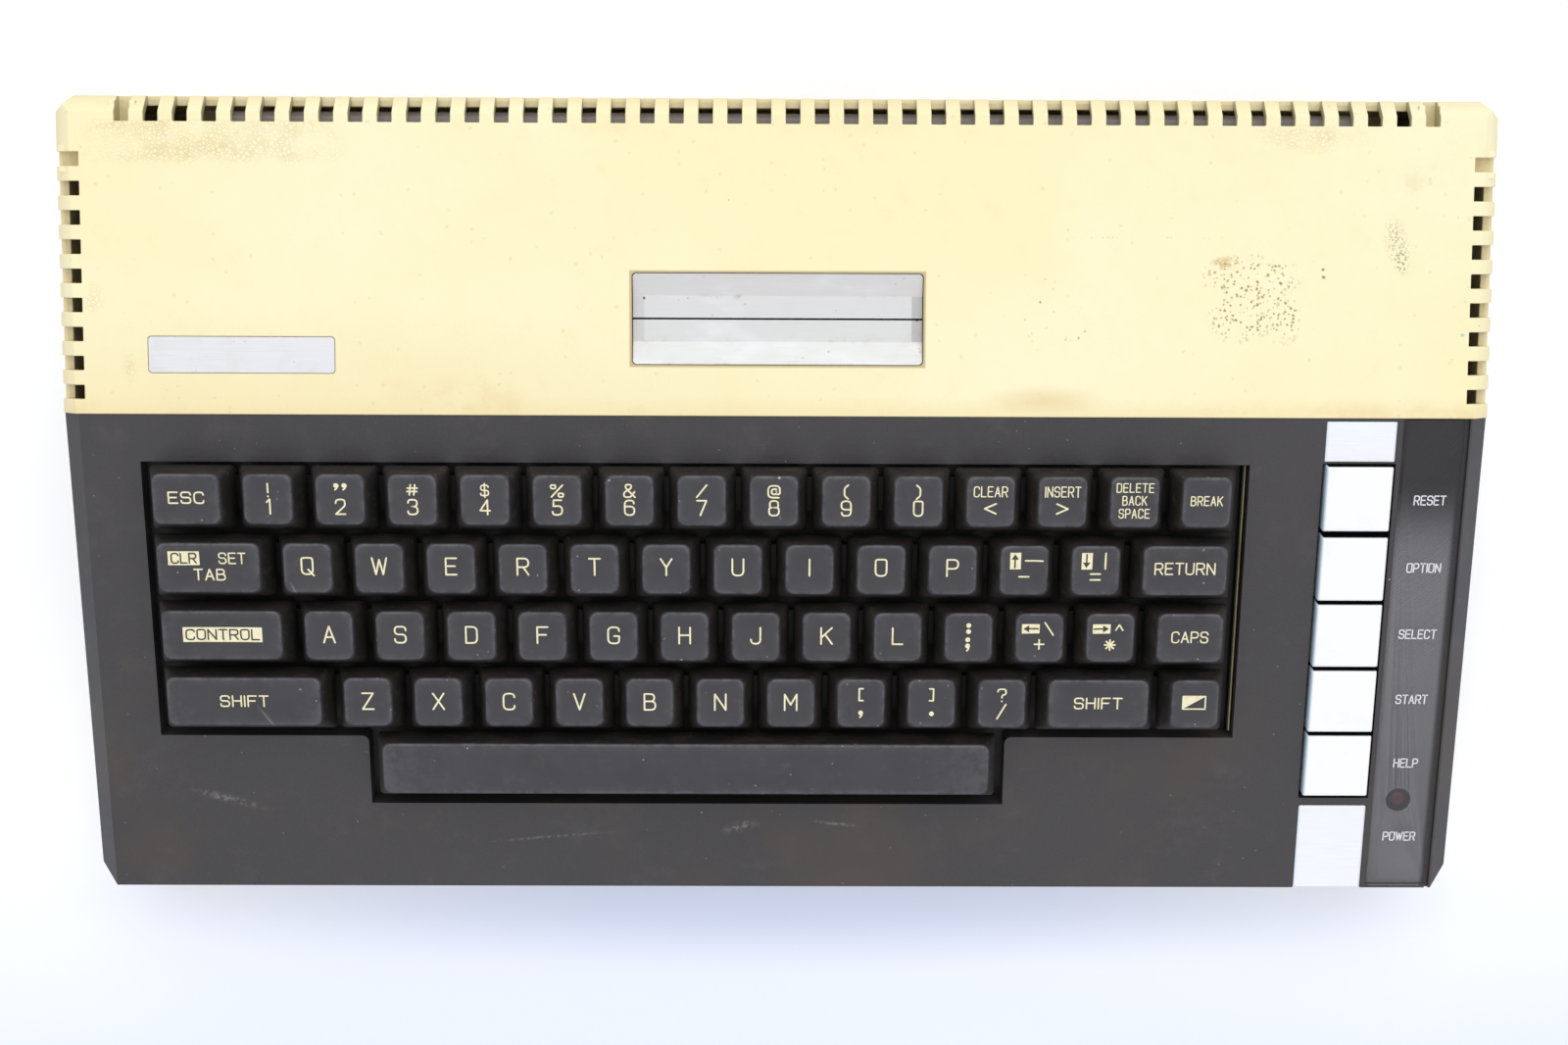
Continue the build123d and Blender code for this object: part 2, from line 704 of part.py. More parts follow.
def make_cartridge_socket():
    pocket = (slot_length, 2 * (hinge_y + chute_side))
    pocket_floor = hinge_z - slot_width / 2 - hinge_offset - swing_clearance
    chute_top = deck_height - wall
    with BuildPart() as socket:
        # Swing pocket for the doors, then the guide down to the board
        with BuildSketch(Plane.XY.offset(pocket_floor - chute_wall)):
            with Locations((0, slot_y)):
                Rectangle(pocket[0] + 2 * chute_wall, pocket[1] + 2 * chute_wall)
        extrude(amount=chute_top - pocket_floor + chute_wall)
        with BuildSketch(Plane.XY.offset(board_top)):
            with Locations((0, slot_y)):
                Rectangle(cartridge_length + 2 * chute_wall, cartridge_thick + 2 * chute_wall)
        extrude(amount=pocket_floor - board_top)
        with BuildSketch(Plane.XY.offset(pocket_floor)):
            with Locations((0, slot_y)):
                Rectangle(pocket[0], pocket[1])
        extrude(amount=chute_top - pocket_floor, mode=Mode.SUBTRACT)
        with BuildSketch(Plane.XY.offset(board_top)):
            with Locations((0, slot_y)):
                Rectangle(cartridge_length, cartridge_thick)
        extrude(amount=pocket_floor - board_top, mode=Mode.SUBTRACT)
        # Bearings of the door pins, open at the top, where the deck closes them
        bearing = hinge_pin_radius + running_clearance
        with BuildSketch(Plane.YZ.offset(-pocket[0] / 2 - chute_wall)):
            with Locations((slot_y - hinge_y, hinge_z), (slot_y + hinge_y, hinge_z)):
                Circle(bearing)
                Rectangle(2 * bearing, chute_top - hinge_z, align=(Align.CENTER, Align.MIN))
        extrude(amount=pocket[0] + 2 * chute_wall, mode=Mode.SUBTRACT)
        # Edge connector on the board
        with BuildSketch(Plane.XY.offset(board_top)):
            with Locations((0, slot_y)):
                Rectangle(connector_length, connector_width)
        extrude(amount=connector_height)
        with BuildSketch(Plane.XY.offset(board_top + connector_height)):
            with Locations((0, slot_y)):
                Rectangle(connector_slot[0], connector_slot[1])
        extrude(amount=-connector_slot[2], mode=Mode.SUBTRACT)
    save(socket.part, "cartridge_socket")


def make_console_trims():
    half = trim_width / 2
    with BuildPart() as trims:
        with BuildSketch(on_slope(0, 0, -trim_thick)):
            slope_rectangle(console_centre - half, console_centre + half, rear_trim[0], rear_trim[1])
            slope_rectangle(console_centre - half, console_centre + half, front_trim, slope_length - 0.2)
        extrude(amount=trim_thick)
        upright = trims.edges().filter_by(Axis((0, 0, 0), tuple(slope.z_dir)))
        fillet(upright.sort_by(Axis.Y)[2:4], console_edge)
    save(trims.part, "console_trims")


def make_console_key(name, s):
    width, length = console_key
    with BuildPart() as key:
        with BuildSketch(on_slope(console_centre, s, -console_body)):
            Rectangle(width, length)
        extrude(amount=console_body + console_rise)
        chamfer(key.faces().sort_by(slope_axis)[-1].edges(), console_edge)
        with BuildSketch(on_slope(console_centre, s, -console_body)):
            Rectangle(width - 2 * console_wall, length - 2 * console_wall)
        extrude(amount=console_body + console_rise - console_wall, mode=Mode.SUBTRACT)
        with BuildSketch(on_slope(console_centre, s, stem_tip)):
            Rectangle(stem_width, stem_width)
        extrude(amount=console_rise - console_wall / 2 - stem_tip)
    save(key.part, name)


def make_legend_strip():
    # Smoked bar, bevelled on both long edges
    right = strip_right - strip_gap
    with BuildPart() as strip:
        start = on_slope(0, strip_start).origin
        with BuildSketch(Plane(origin=start, x_dir=(1, 0, 0), z_dir=-slope.y_dir)):
            with BuildLine():
                Polyline(
                    (strip_left, -strip_recess),
                    (right, -strip_recess),
                    (right, 0),
                    (right - strip_bevel_right, strip_rise),
                    (strip_left + strip_bevel_left, strip_rise),
                    (strip_left, 0),
                    close=True,
                )
            make_face()
        extrude(amount=slope_length - strip_end_gap - strip_start)
    save(strip.part, "legend_strip")


def make_power_lamp():
    # Round body on a square flange that is clipped under the bezel
    with BuildPart() as lamp:
        with BuildSketch(on_slope(*lamp_place, -wall)):
            Rectangle(lamp_flange, lamp_flange)
        extrude(amount=-lamp_flange_thick)
        with BuildSketch(on_slope(*lamp_place, -wall)):
            Circle(lamp_radius)
        extrude(amount=wall - strip_recess - lamp_drop)
    save(lamp.part, "power_lamp")


def taper_block(width, length, height, lean, scoop=0.0):
    # Block tapering upwards: its side profile crossed with its front profile, which may be scooped;
    # lean holds how far the sides, the front and the rear lean in
    side, front, rear = lean
    edge = width / 2 - side
    with BuildPart() as block:
        with BuildSketch(Plane.YZ.offset(-width / 2)):
            Polygon(
                (-length / 2, 0),
                (length / 2, 0),
                (length / 2 - rear, height),
                (-length / 2 + front, height),
                align=None,
            )
        extrude(amount=width)
        outline = [(edge, height), (width / 2, 0), (-width / 2, 0), (-edge, height)]
        if scoop:
            floor = edge * (1 - scoop_share)
            outline += [(-floor, height - scoop), (floor, height - scoop)]
        with BuildSketch(Plane.XZ.offset(-length)):
            Polygon(*outline, align=None)
        extrude(amount=2 * length, mode=Mode.INTERSECT)
    return block.part


def cap_shape(units, extra=0.0):
    # One key cap, its lower edge centred on the origin: tapered shell, cut corners, scooped top, stem
    width = units * key_pitch - key_gap
    length = key_pitch - key_gap + extra
    lean = (cap_side_lean, cap_front_lean, cap_rear_lean)
    core_height = cap_height - cap_top_wall
    core_lean = [side * core_height / cap_height for side in lean]
    with BuildPart() as cap:
        add(taper_block(width, length, cap_height, lean, 0.0 if extra else cap_dish))
        slanted = cap.edges().filter_by(lambda edge: abs(edge.tangent_at(0.5).Z) > 0.5)
        chamfer(slanted, cap_corner)
        core = taper_block(width - 2 * cap_wall, length - 2 * cap_wall, core_height, core_lean)
        add(core, mode=Mode.SUBTRACT)
        with BuildSketch(Plane.XY.offset(stem_tip - cap_base)):
            Rectangle(stem_width, stem_width)
        extrude(amount=cap_height - cap_top_wall / 2 + cap_base - stem_tip)
    return cap.part


def make_keys():
    shapes = {}
    for name, row, centre, units in all_caps:
        if units not in shapes:
            shapes[units] = cap_shape(units, space_extra if row == 4 else 0.0)
    groups = {f"{letter[0]}_key": [letter] for letter in letter_caps}
    groups.update({cap[0]: [cap] for cap in wide_caps + [space_cap]})
    groups["number_keys"] = digit_caps
    groups["symbol_keys"] = symbol_caps
    groups["function_keys"] = function_caps
    for name, caps in groups.items():
        with BuildPart() as keys:
            for cap in caps:
                add(shapes[cap[3]].moved(cap_place(cap).location))
        save(keys.part, name)


def make_keyboard_frame():
    console_places = [(console_centre, s) for s in console_rows]
    cap_places = [(key_left + centre * key_pitch, row_s(row)) for name, row, centre, units in all_caps]
    guides = [(x, -s) for x, s in cap_places + console_places]
    hole = stem_width + 2 * guide_clearance
    reach = hole / 2 + guide_wall
    flange_right = well_right - flange_gap
    with BuildPart() as frame:
        with BuildSketch(on_slope(0, 0, frame_top)):
            slope_rectangle(frame_left, frame_right, frame_rear, frame_front)
        extrude(amount=-frame_thick)
        with BuildSketch(on_slope(0, 0, frame_top)):
            for row in range(5):
                middle = row_s(row)
                row_caps = [x for x, s in cap_places if s == middle]
                left = min(row_caps) - reach
                right = max(row_caps) + reach
                slope_rectangle(left, right, middle - reach, middle + reach)
            with Locations(*[(x, -s) for x, s in console_places]):
                Rectangle(2 * reach, 2 * reach)
        extrude(amount=guide_height)
        with BuildSketch(on_slope(0, 0, frame_top + guide_height)):
            with Locations(*guides):
                Rectangle(hole, hole)
        extrude(amount=-guide_height - frame_thick, mode=Mode.SUBTRACT)
        # Folded edge that stands at the right of the key well
        with BuildSketch(on_slope(0, 0, frame_top)):
            slope_rectangle(flange_right - flange_thick, flange_right, well_rear + 1, well_front - 1)
        extrude(amount=flange_top - frame_top)
        # Legs down to the switch board
        with BuildSketch(on_slope(0, 0, frame_top - frame_thick)):
            for x, s in frame_posts():
                with Locations((x, -s)):
                    Rectangle(frame_post, frame_post)
        extrude(amount=-(frame_top - frame_thick - board_drop))
    save(frame.part, "keyboard_frame")


def make_keyboard_board():
    with BuildPart() as board:
        with BuildSketch(on_slope(0, 0, board_drop)):
            slope_rectangle(
                frame_left, frame_right, frame_rear + board_setback[0], frame_front - board_setback[1]
            )
        extrude(amount=-board_thick)
    save(board.part, "keyboard_board")


def make_bottom_case():
    bay_span = bay_right - bay_left
    seat_pitch = board_width / 2 - seat_inset[0]
    with BuildPart() as case:
        with BuildSketch(Plane.XY.offset(foot_height)):
            add(plan_outline())
        extrude(amount=parting_height - foot_height)
        chamfer(case.faces().sort_by(Axis.Z)[0].edges(), base_bevel)
        with BuildSketch(Plane.XY.offset(floor_top)):
            add(plan_outline(wall))
        extrude(amount=parting_height - floor_top, mode=Mode.SUBTRACT)
        with BuildSketch(Plane.XY.offset(floor_top - 0.6 * wall)):
            # Rear port bay and the bay of the controller ports
            with Locations(((bay_left + bay_right) / 2, rear_face - wall / 2)):
                Rectangle(bay_span + 2 * wall, bay_depth + wall / 2, align=(Align.CENTER, Align.MAX))
            with Locations((side_face - wall / 2, (side_bay[0] + side_bay[1]) / 2)):
                Rectangle(
                    side_bay_depth + wall / 2,
                    side_bay[1] - side_bay[0] + 2 * wall,
                    align=(Align.MAX, Align.CENTER),
                )
        extrude(amount=parting_height - floor_top + 0.6 * wall)
        with BuildSketch(Plane.XY.offset(floor_top)):
            with Locations(((bay_left + bay_right) / 2, rear_face + 1)):
                Rectangle(bay_span, bay_depth + 1, align=(Align.CENTER, Align.MAX))
        extrude(amount=parting_height - floor_top, mode=Mode.SUBTRACT)
        with BuildSketch(Plane.XY.offset(side_bay_floor)):
            with Locations((side_face + 1, (side_bay[0] + side_bay[1]) / 2)):
                Rectangle(side_bay_depth + 1, side_bay[1] - side_bay[0], align=(Align.MAX, Align.CENTER))
        extrude(amount=side_bay_roof - side_bay_floor, mode=Mode.SUBTRACT)
        # Openings of the rear sockets, switches and bus; those of the round sockets run up to the cover
        with BuildSketch(Plane.XZ.offset(-bay_wall - 1)):
            with Locations((monitor_x, board_top - port_gap), (inlet_x, board_top - port_gap)):
                Rectangle(din_body[0] + 2 * port_gap, parting_height, align=(Align.CENTER, Align.MIN))
            with Locations((modulator_x, port_height)):
                Rectangle(jack_opening, jack_opening)
            with Locations((peripheral_x, peripheral_z)):
                Rectangle(peripheral_size[0] + 2 * port_gap, peripheral_size[1] + 2 * port_gap)
            with Locations((bus_x, bus_height)):
                Rectangle(*bus_opening)
            with Locations((channel_x + slider_travel / 2, port_height)):
                Rectangle(slider_size[0] + slider_travel + 2 * port_gap, slider_size[1] + 2 * port_gap)
            with Locations((rocker_x, port_height)):
                Rectangle(rocker_size[0] + 2 * cheek + 4 * port_gap, rocker_size[1] + 2 * rocker_room)
        extrude(amount=wall + 2, mode=Mode.SUBTRACT)
        # Openings of the controller ports
        with BuildSketch(Plane.YZ.offset(side_wall - wall - 1)):
            with Locations(*[(y, controller_height) for y in controller_places]):
                Rectangle(shell_size[0] + 2 * port_gap, shell_size[1] + 2 * port_gap)
        extrude(amount=wall + 2, mode=Mode.SUBTRACT)
        # Lower bosses of the case screws and the seats of the main board
        screw_places = upper_bosses + rear_bosses
        with BuildSketch(Plane.XY.offset(floor_top - wall / 2)):
            with Locations(*screw_places):
                Rectangle(lower_boss, lower_boss)
        extrude(amount=boss_meet - floor_top + wall / 2)
        with BuildSketch(Plane.XY.offset(foot_height)):
            with Locations(*screw_places):
                RegularPolygon(screw_radius + screw_clearance, round_sides)
        extrude(amount=boss_meet - foot_height, mode=Mode.SUBTRACT)
        with BuildSketch(Plane.XY.offset(foot_height)):
            with Locations(*screw_places):
                RegularPolygon(screw_head_radius + screw_clearance, round_sides)
        extrude(amount=head_recess, mode=Mode.SUBTRACT)
        with BuildSketch(Plane.XY.offset(floor_top - wall / 2)):
            with Locations((0, (board_front + board_rear) / 2)):
                with GridLocations(seat_pitch, board_rear - board_front - 2 * seat_inset[1], 3, 2):
                    Rectangle(boss_size, boss_size)
        extrude(amount=board_seat + wall / 2)
        # Cooling slots through the floor
        with BuildSketch(Plane.XY.offset(foot_height)):
            with Locations((0, floor_slot_y)):
                with GridLocations(3 * vent_pitch, 0, floor_slots, 1):
                    Rectangle(vent_width, floor_slot_length)
        extrude(amount=wall, mode=Mode.SUBTRACT)
    save(case.part, "bottom_case")


def make_feet():
    with BuildPart() as feet:
        with BuildSketch():
            with Locations(*foot_places):
                Circle(foot_radius)
        extrude(amount=foot_height)
    save(feet.part, "rubber_feet")


def make_screws():
    seat = foot_height + head_recess
    with BuildPart() as screws:
        with BuildSketch(Plane.XY.offset(seat - screw_head)):
            with Locations(*(upper_bosses + rear_bosses)):
                RegularPolygon(screw_head_radius, round_sides)
        extrude(amount=screw_head)
        with BuildSketch(Plane.XY.offset(seat)):
            with Locations(*(upper_bosses + rear_bosses)):
                RegularPolygon(screw_radius, round_sides)
        extrude(amount=screw_length)
    save(screws.part, "case_screws")


def make_main_board():
    with BuildPart() as board:
        with BuildSketch(Plane.XY.offset(board_underside)):
            with Locations((0, board_front)):
                Rectangle(board_width, board_rear - board_front, align=(Align.CENTER, Align.MIN))
            with Locations(rear_bosses[1]):
                Rectangle(2 * boss_notch, 2 * boss_notch, mode=Mode.SUBTRACT)
            with Locations(*upper_bosses, rear_bosses[0], rear_bosses[2]):
                Rectangle(2 * boss_notch, 2 * boss_notch, mode=Mode.SUBTRACT)
        extrude(amount=board_thick)
        with BuildSketch(Plane.XY.offset(board_top)):
            with Locations(*large_chips):
                Rectangle(*large_chip)
            with Locations(*small_chips):
                Rectangle(*small_chip)
        extrude(amount=chip_height)
        # Bodies of the channel switch and of the power switch, with the rocker's two cheeks
        cheek_span = rocker_size[0] + 2 * cheek + 2 * port_gap
        with BuildSketch(Plane.XY.offset(board_top)):
            with Locations((channel_x + slider_travel / 2, port_face - slider_tail + slider_rise)):
                Rectangle(switch_body[0], switch_body[1], align=(Align.CENTER, Align.MAX))
        extrude(amount=port_height + switch_body[2] / 2 - board_top)
        with BuildSketch(Plane.XY.offset(board_top)):
            with Locations((rocker_x, port_face - rocker_depth)):
                Rectangle(cheek_span, 2 * rocker_depth, align=(Align.CENTER, Align.MAX))
            for side in (-1, 1):
                with Locations((rocker_x + side * (rocker_size[0] / 2 + port_gap + cheek / 2), port_face)):
                    Rectangle(cheek, rocker_depth + 0.1, align=(Align.CENTER, Align.MAX))
        extrude(amount=rocker_size[1])
        bearing = rocker_pin + running_clearance
        with BuildSketch(Plane.YZ.offset(rocker_x - 2 * rocker_size[0])):
            with Locations((rocker_pivot_y, port_height)):
                Circle(bearing)
                Rectangle(2 * bearing, rocker_size[1], align=(Align.CENTER, Align.MIN))
        extrude(amount=4 * rocker_size[0], mode=Mode.SUBTRACT)
    save(board.part, "main_board")


def make_power_rocker():
    # Two faces at a shallow angle about a pivot, pressed in at the top
    reach = rocker_size[1] / 2
    front = bay_wall + rocker_rise - rocker_pivot_y
    heel = (rocker_pin + rocker_web, 2 * rocker_pin + rocker_web)
    pin_span = rocker_size[0] + 2 * port_gap + 2 * cheek - pin_end_gap
    lean = reach * tan(radians(rocker_angle))
    with BuildPart() as rocker:
        with BuildSketch(Plane.YZ.offset(rocker_x - rocker_size[0] / 2)):
            with BuildLine():
                Polyline(
                    (-heel[0], -heel[1]),
                    (front - lean, -reach),
                    (front, 0),
                    (front - lean, reach),
                    (-heel[0], heel[1]),
                    close=True,
                )
            make_face()
        extrude(amount=rocker_size[0])
        with BuildSketch(Plane.YZ.offset(rocker_x - pin_span / 2)):
            Circle(rocker_pin)
        extrude(amount=pin_span)
    # Pressed in at the top, as when the power is off
    seat = Location((0, rocker_pivot_y, port_height)) * Location((0, 0, 0), (-rocker_angle, 0, 0))
    save(rocker.part.moved(seat), "power_rocker")


def make_board_shield():
    depth = shield_rear - shield_front
    inner_width = shield_width - 2 * shield_sheet
    inner_depth = depth - 2 * shield_sheet
    with BuildPart() as shield:
        with BuildSketch(Plane.XY.offset(board_top)):
            with Locations((0, shield_front)):
                Rectangle(shield_width, depth, align=(Align.CENTER, Align.MIN))
        extrude(amount=shield_height)
        with BuildSketch(Plane.XY.offset(board_top)):
            with Locations((0, shield_front + shield_sheet)):
                Rectangle(inner_width, inner_depth, align=(Align.CENTER, Align.MIN))
        extrude(amount=shield_height - shield_sheet, mode=Mode.SUBTRACT)
        with BuildSketch(Plane.XY.offset(board_top)):
            with Locations((0, slot_y)):
                Rectangle(
                    cartridge_length + 2 * chute_wall + 2 * shield_gap,
                    cartridge_thick + 2 * chute_wall + 2 * shield_gap,
                )
        extrude(amount=2 * shield_height, mode=Mode.SUBTRACT)
    save(shield.part, "board_shield")


def make_rear_sockets():
    with BuildPart() as sockets:
        for x in (monitor_x, inlet_x):
            with BuildSketch(Plane.XY.offset(board_top)):
                with Locations((x, din_face)):
                    Rectangle(din_body[0], din_body[1], align=(Align.CENTER, Align.MAX))
            extrude(amount=din_body[2])
            with BuildSketch(Plane.XZ.offset(-din_face)):
                with Locations((x, port_height)):
                    Circle(din_radius)
            extrude(amount=din_depth, mode=Mode.SUBTRACT)
        width, height = peripheral_size
        with BuildSketch(Plane.XY.offset(board_top)):
            with Locations((peripheral_x, port_face)):
                Rectangle(width + 2 * peripheral_flange, peripheral_body, align=(Align.CENTER, Align.MAX))
        extrude(amount=height + 2 * peripheral_lift)
        with BuildSketch(Plane.XZ.offset(-port_face)):
            with Locations((peripheral_x, peripheral_z)):
                Rectangle(width, height)
        extrude(amount=-(bay_wall - port_face + peripheral_rise))
        with BuildSketch(Plane.XZ.offset(-bay_wall - peripheral_rise)):
            with Locations((peripheral_x, peripheral_z)):
                Rectangle(width - 2 * peripheral_wall, height - 2 * peripheral_wall)
        extrude(amount=peripheral_body, mode=Mode.SUBTRACT)
    save(sockets.part, "rear_sockets")


def make_tv_modulator():
    with BuildPart() as modulator:
        with BuildSketch(Plane.XY.offset(board_top)):
            with Locations((modulator_x, port_face)):
                Rectangle(modulator_size[0], modulator_size[1], align=(Align.CENTER, Align.MAX))
        extrude(amount=modulator_size[2])
        # Phono jack: a fixing nut through the case wall, then the bored sleeve
        with BuildSketch(Plane.XZ.offset(-port_face)):
            with Locations((modulator_x, port_height)):
                RegularPolygon(jack_nut, 6)
        extrude(amount=port_face - bay_wall)
        with BuildSketch(Plane.XZ.offset(-bay_wall)):
            with Locations((modulator_x, port_height)):
                Circle(jack_radius)
        extrude(amount=-jack_length)
        with BuildSketch(Plane.XZ.offset(-bay_wall - jack_length)):
            with Locations((modulator_x, port_height)):
                Circle(jack_bore)
        extrude(amount=jack_length, mode=Mode.SUBTRACT)
    save(modulator.part, "tv_modulator")


def make_channel_slider():
    with BuildPart() as slider:
        with BuildSketch(Plane.XZ.offset(-bay_wall - slider_rise)):
            with Locations((channel_x, port_height)):
                Rectangle(*slider_size)
        extrude(amount=bay_wall - port_face + slider_tail - port_gap)
    save(slider.part, "channel_slider")


def make_bus_cover():
    width, height = bus_opening
    with BuildPart() as cover:
        with BuildSketch(Plane.XZ.offset(-bay_wall)):
            with Locations((bus_x, bus_height)):
                Rectangle(width + 2 * bus_cover_margin, height + 2 * bus_cover_margin)
        extrude(amount=-bus_cover_thick)
        chamfer(cover.faces().sort_by(Axis.Y)[-1].edges(), bus_cover_thick / 3)
        with BuildSketch(Plane.XZ.offset(-bay_wall)):
            with Locations((bus_x, bus_height)):
                Rectangle(width - 2 * port_gap, height - 2 * port_gap)
                Rectangle(width - 2 * port_gap - 3, height - 2 * port_gap - 3, mode=Mode.SUBTRACT)
        extrude(amount=bus_cover_lip)
    save(cover.part, "bus_cover")


def make_controller_ports():
    # Two nine-pin ports: a body behind the case wall and a D-shaped metal shell through it
    with BuildPart() as ports:
        for y in controller_places:
            with BuildSketch(Plane.YZ.offset(side_port_face)):
                with Locations((y, board_top + flange_size[1] / 2)):
                    Rectangle(*flange_size)
            extrude(amount=-flange_body)
            with BuildSketch(Plane.YZ.offset(side_port_face)):
                with Locations((y, controller_height)):
                    d_outline(0)
            extrude(amount=side_wall - side_port_face + shell_rise)
            with BuildSketch(Plane.YZ.offset(side_wall + shell_rise)):
                with Locations((y, controller_height)):
                    d_outline(shell_wall)
            extrude(amount=-shell_depth, mode=Mode.SUBTRACT)
    save(ports.part, "controller_ports")


def d_outline(inset):
    # D-shaped outline, wide above and narrow below
    half_width = shell_size[0] / 2 - inset
    half_height = shell_size[1] / 2 - inset
    Polygon(
        (-half_width, half_height),
        (-half_width + shell_lean, -half_height),
        (half_width - shell_lean, -half_height),
        (half_width, half_height),
        align=None,
    )


make_rear_cover()
make_front_bezel()
make_nameplate()
make_doors()
make_cartridge_socket()
make_console_trims()
for console_name, console_s in zip(console_names, console_rows):
    make_console_key(console_name, console_s)
make_legend_strip()
make_power_lamp()
make_keys()
make_keyboard_frame()
make_keyboard_board()
make_bottom_case()
make_feet()
make_screws()
make_main_board()
make_board_shield()
make_rear_sockets()
make_tv_modulator()
make_channel_slider()
make_power_rocker()
make_bus_cover()
make_controller_ports()
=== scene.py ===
import json
import math

import bmesh
import bpy
from mathutils import Euler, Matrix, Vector

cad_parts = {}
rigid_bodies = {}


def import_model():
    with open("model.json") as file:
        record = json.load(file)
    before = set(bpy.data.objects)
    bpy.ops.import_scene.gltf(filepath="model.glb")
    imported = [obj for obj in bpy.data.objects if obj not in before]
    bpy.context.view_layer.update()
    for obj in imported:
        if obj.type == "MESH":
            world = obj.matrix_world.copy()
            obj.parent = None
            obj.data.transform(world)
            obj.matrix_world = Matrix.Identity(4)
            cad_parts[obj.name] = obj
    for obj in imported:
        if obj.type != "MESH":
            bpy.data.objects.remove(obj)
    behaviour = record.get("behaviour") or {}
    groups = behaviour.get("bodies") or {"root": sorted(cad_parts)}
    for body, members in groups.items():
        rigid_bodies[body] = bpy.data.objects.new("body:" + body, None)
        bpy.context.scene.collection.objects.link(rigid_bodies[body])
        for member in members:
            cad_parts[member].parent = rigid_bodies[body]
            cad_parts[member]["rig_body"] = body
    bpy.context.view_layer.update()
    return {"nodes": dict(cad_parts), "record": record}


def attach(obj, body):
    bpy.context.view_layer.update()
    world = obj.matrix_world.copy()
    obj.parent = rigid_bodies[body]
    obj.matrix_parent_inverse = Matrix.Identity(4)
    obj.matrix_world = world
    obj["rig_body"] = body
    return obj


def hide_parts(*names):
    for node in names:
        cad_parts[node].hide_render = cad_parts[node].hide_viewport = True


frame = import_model()
nodes = frame["nodes"]
mm = 0.001
print("frame loaded:", len(nodes), "nodes")

# Where the keyboard slope lies: seam and height of its rear edge in mm, and its fall to the front
slope = {"seam": 25.599, "top": 57.5, "angle": math.radians(11)}
slopeCos, slopeSin = math.cos(slope["angle"]), math.sin(slope["angle"])


def onSlope(x, s, h=0.0):
    # x across, s down the slope from the seam, h above it, all in mm; gives a point in metres
    return Vector((x, slope["seam"] - s * slopeCos - h * slopeSin, slope["top"] - s * slopeSin + h * slopeCos)) * mm


def linear(hexColour):
    # sRGB hex to the linear numbers a shader takes
    parts = [int(hexColour[i:i + 2], 16) / 255 for i in (1, 3, 5)]
    return tuple(p / 12.92 if p <= 0.04045 else ((p + 0.055) / 1.055) ** 2.4 for p in parts) + (1.0,)


def addNode(tree, kind, inputs=None, **settings):
    # adds a node, sets its settings, then fills its inputs with numbers or hex colours or links them
    item = tree.nodes.new(kind)
    for key, value in settings.items():
        setattr(item, key, value)
    for key, value in (inputs or {}).items():
        if isinstance(value, bpy.types.Node):
            value = next(out for out in value.outputs if out.enabled)
        if isinstance(value, bpy.types.NodeSocket):
            tree.links.new(value, item.inputs[key])
        else:
            item.inputs[key].default_value = linear(value) if isinstance(value, str) and value[0] == "#" else value
    return item


def newMaterial(name, surface):
    # a material with one Principled shader; surface holds what is the same all over
    material = bpy.data.materials.new(name)
    material.use_nodes = True
    tree = material.node_tree
    tree.nodes.clear()
    shader = addNode(tree, "ShaderNodeBsdfPrincipled", surface)
    addNode(tree, "ShaderNodeOutputMaterial", {"Surface": shader})
    return material, shader, addNode(tree, "ShaderNodeTexCoord").outputs["Object"]


# Masks run from 0 to 1. Sizes and places are in mm. Their nodes go into the tree that the coordinates come from
def overlap(*masks):
    # several masks multiplied
    result = masks[0]
    for mask in masks[1:]:
        result = addNode(result.id_data, "ShaderNodeMath", {0: result, 1: mask}, operation="MULTIPLY")
    return result


def gather(*masks):
    # the highest of several masks
    result = masks[0]
    for mask in masks[1:]:
        result = addNode(result.id_data, "ShaderNodeMath", {0: result, 1: mask}, operation="MAXIMUM")
    return result


def clouds(coords, size, low, high, detail=4.0, rough=0.6, stretch=(1, 1, 1)):
    # patches of noise about size wide, faded in between two levels; stretch below 1 draws them out
    tree = coords.id_data
    moved = addNode(tree, "ShaderNodeMapping", {"Vector": coords, "Scale": [1000.0 / size * k for k in stretch]})
    haze = addNode(
        tree, "ShaderNodeTexNoise", {"Vector": moved, "Scale": 1.0, "Detail": detail, "Roughness": rough})
    return addNode(
        tree, "ShaderNodeMapRange", {"Value": haze, "From Min": low, "From Max": high},
        interpolation_type="SMOOTHSTEP")


def zone(coords, axis, rise=None, fall=None):
    # a strip across one axis that fades in over rise and out over fall, both (from, to)
    place = addNode(coords.id_data, "ShaderNodeSeparateXYZ", {"Vector": coords}).outputs[axis]
    steps = []
    for ends, first in ((rise, 0.0), (fall, 1.0)):
        if ends:
            span = {"From Min": ends[0] * mm, "From Max": ends[1] * mm, "To Min": first, "To Max": 1 - first}
            steps.append(addNode(
                coords.id_data, "ShaderNodeMapRange", {"Value": place, **span}, interpolation_type="SMOOTHSTEP"))
    return overlap(*steps)


def spot(coords, centre, reach, soft=0.5, turn=0.0):
    # soft-edged ellipsoid with half sizes reach, turned about the vertical by turn degrees
    tree = coords.id_data
    fit = {
        "Location": [c * mm for c in centre], "Rotation": (0, 0, math.radians(turn)),
        "Scale": [r * mm for r in reach],
    }
    moved = addNode(tree, "ShaderNodeMapping", {"Vector": coords, **fit}, vector_type="TEXTURE")
    away = addNode(tree, "ShaderNodeVectorMath", {0: moved}, operation="LENGTH").outputs["Value"]
    return addNode(
        tree, "ShaderNodeMapRange",
        {"Value": away, "From Min": 1.0 - soft, "From Max": 1.0, "To Min": 1.0, "To Max": 0.0},
        interpolation_type="SMOOTHSTEP")


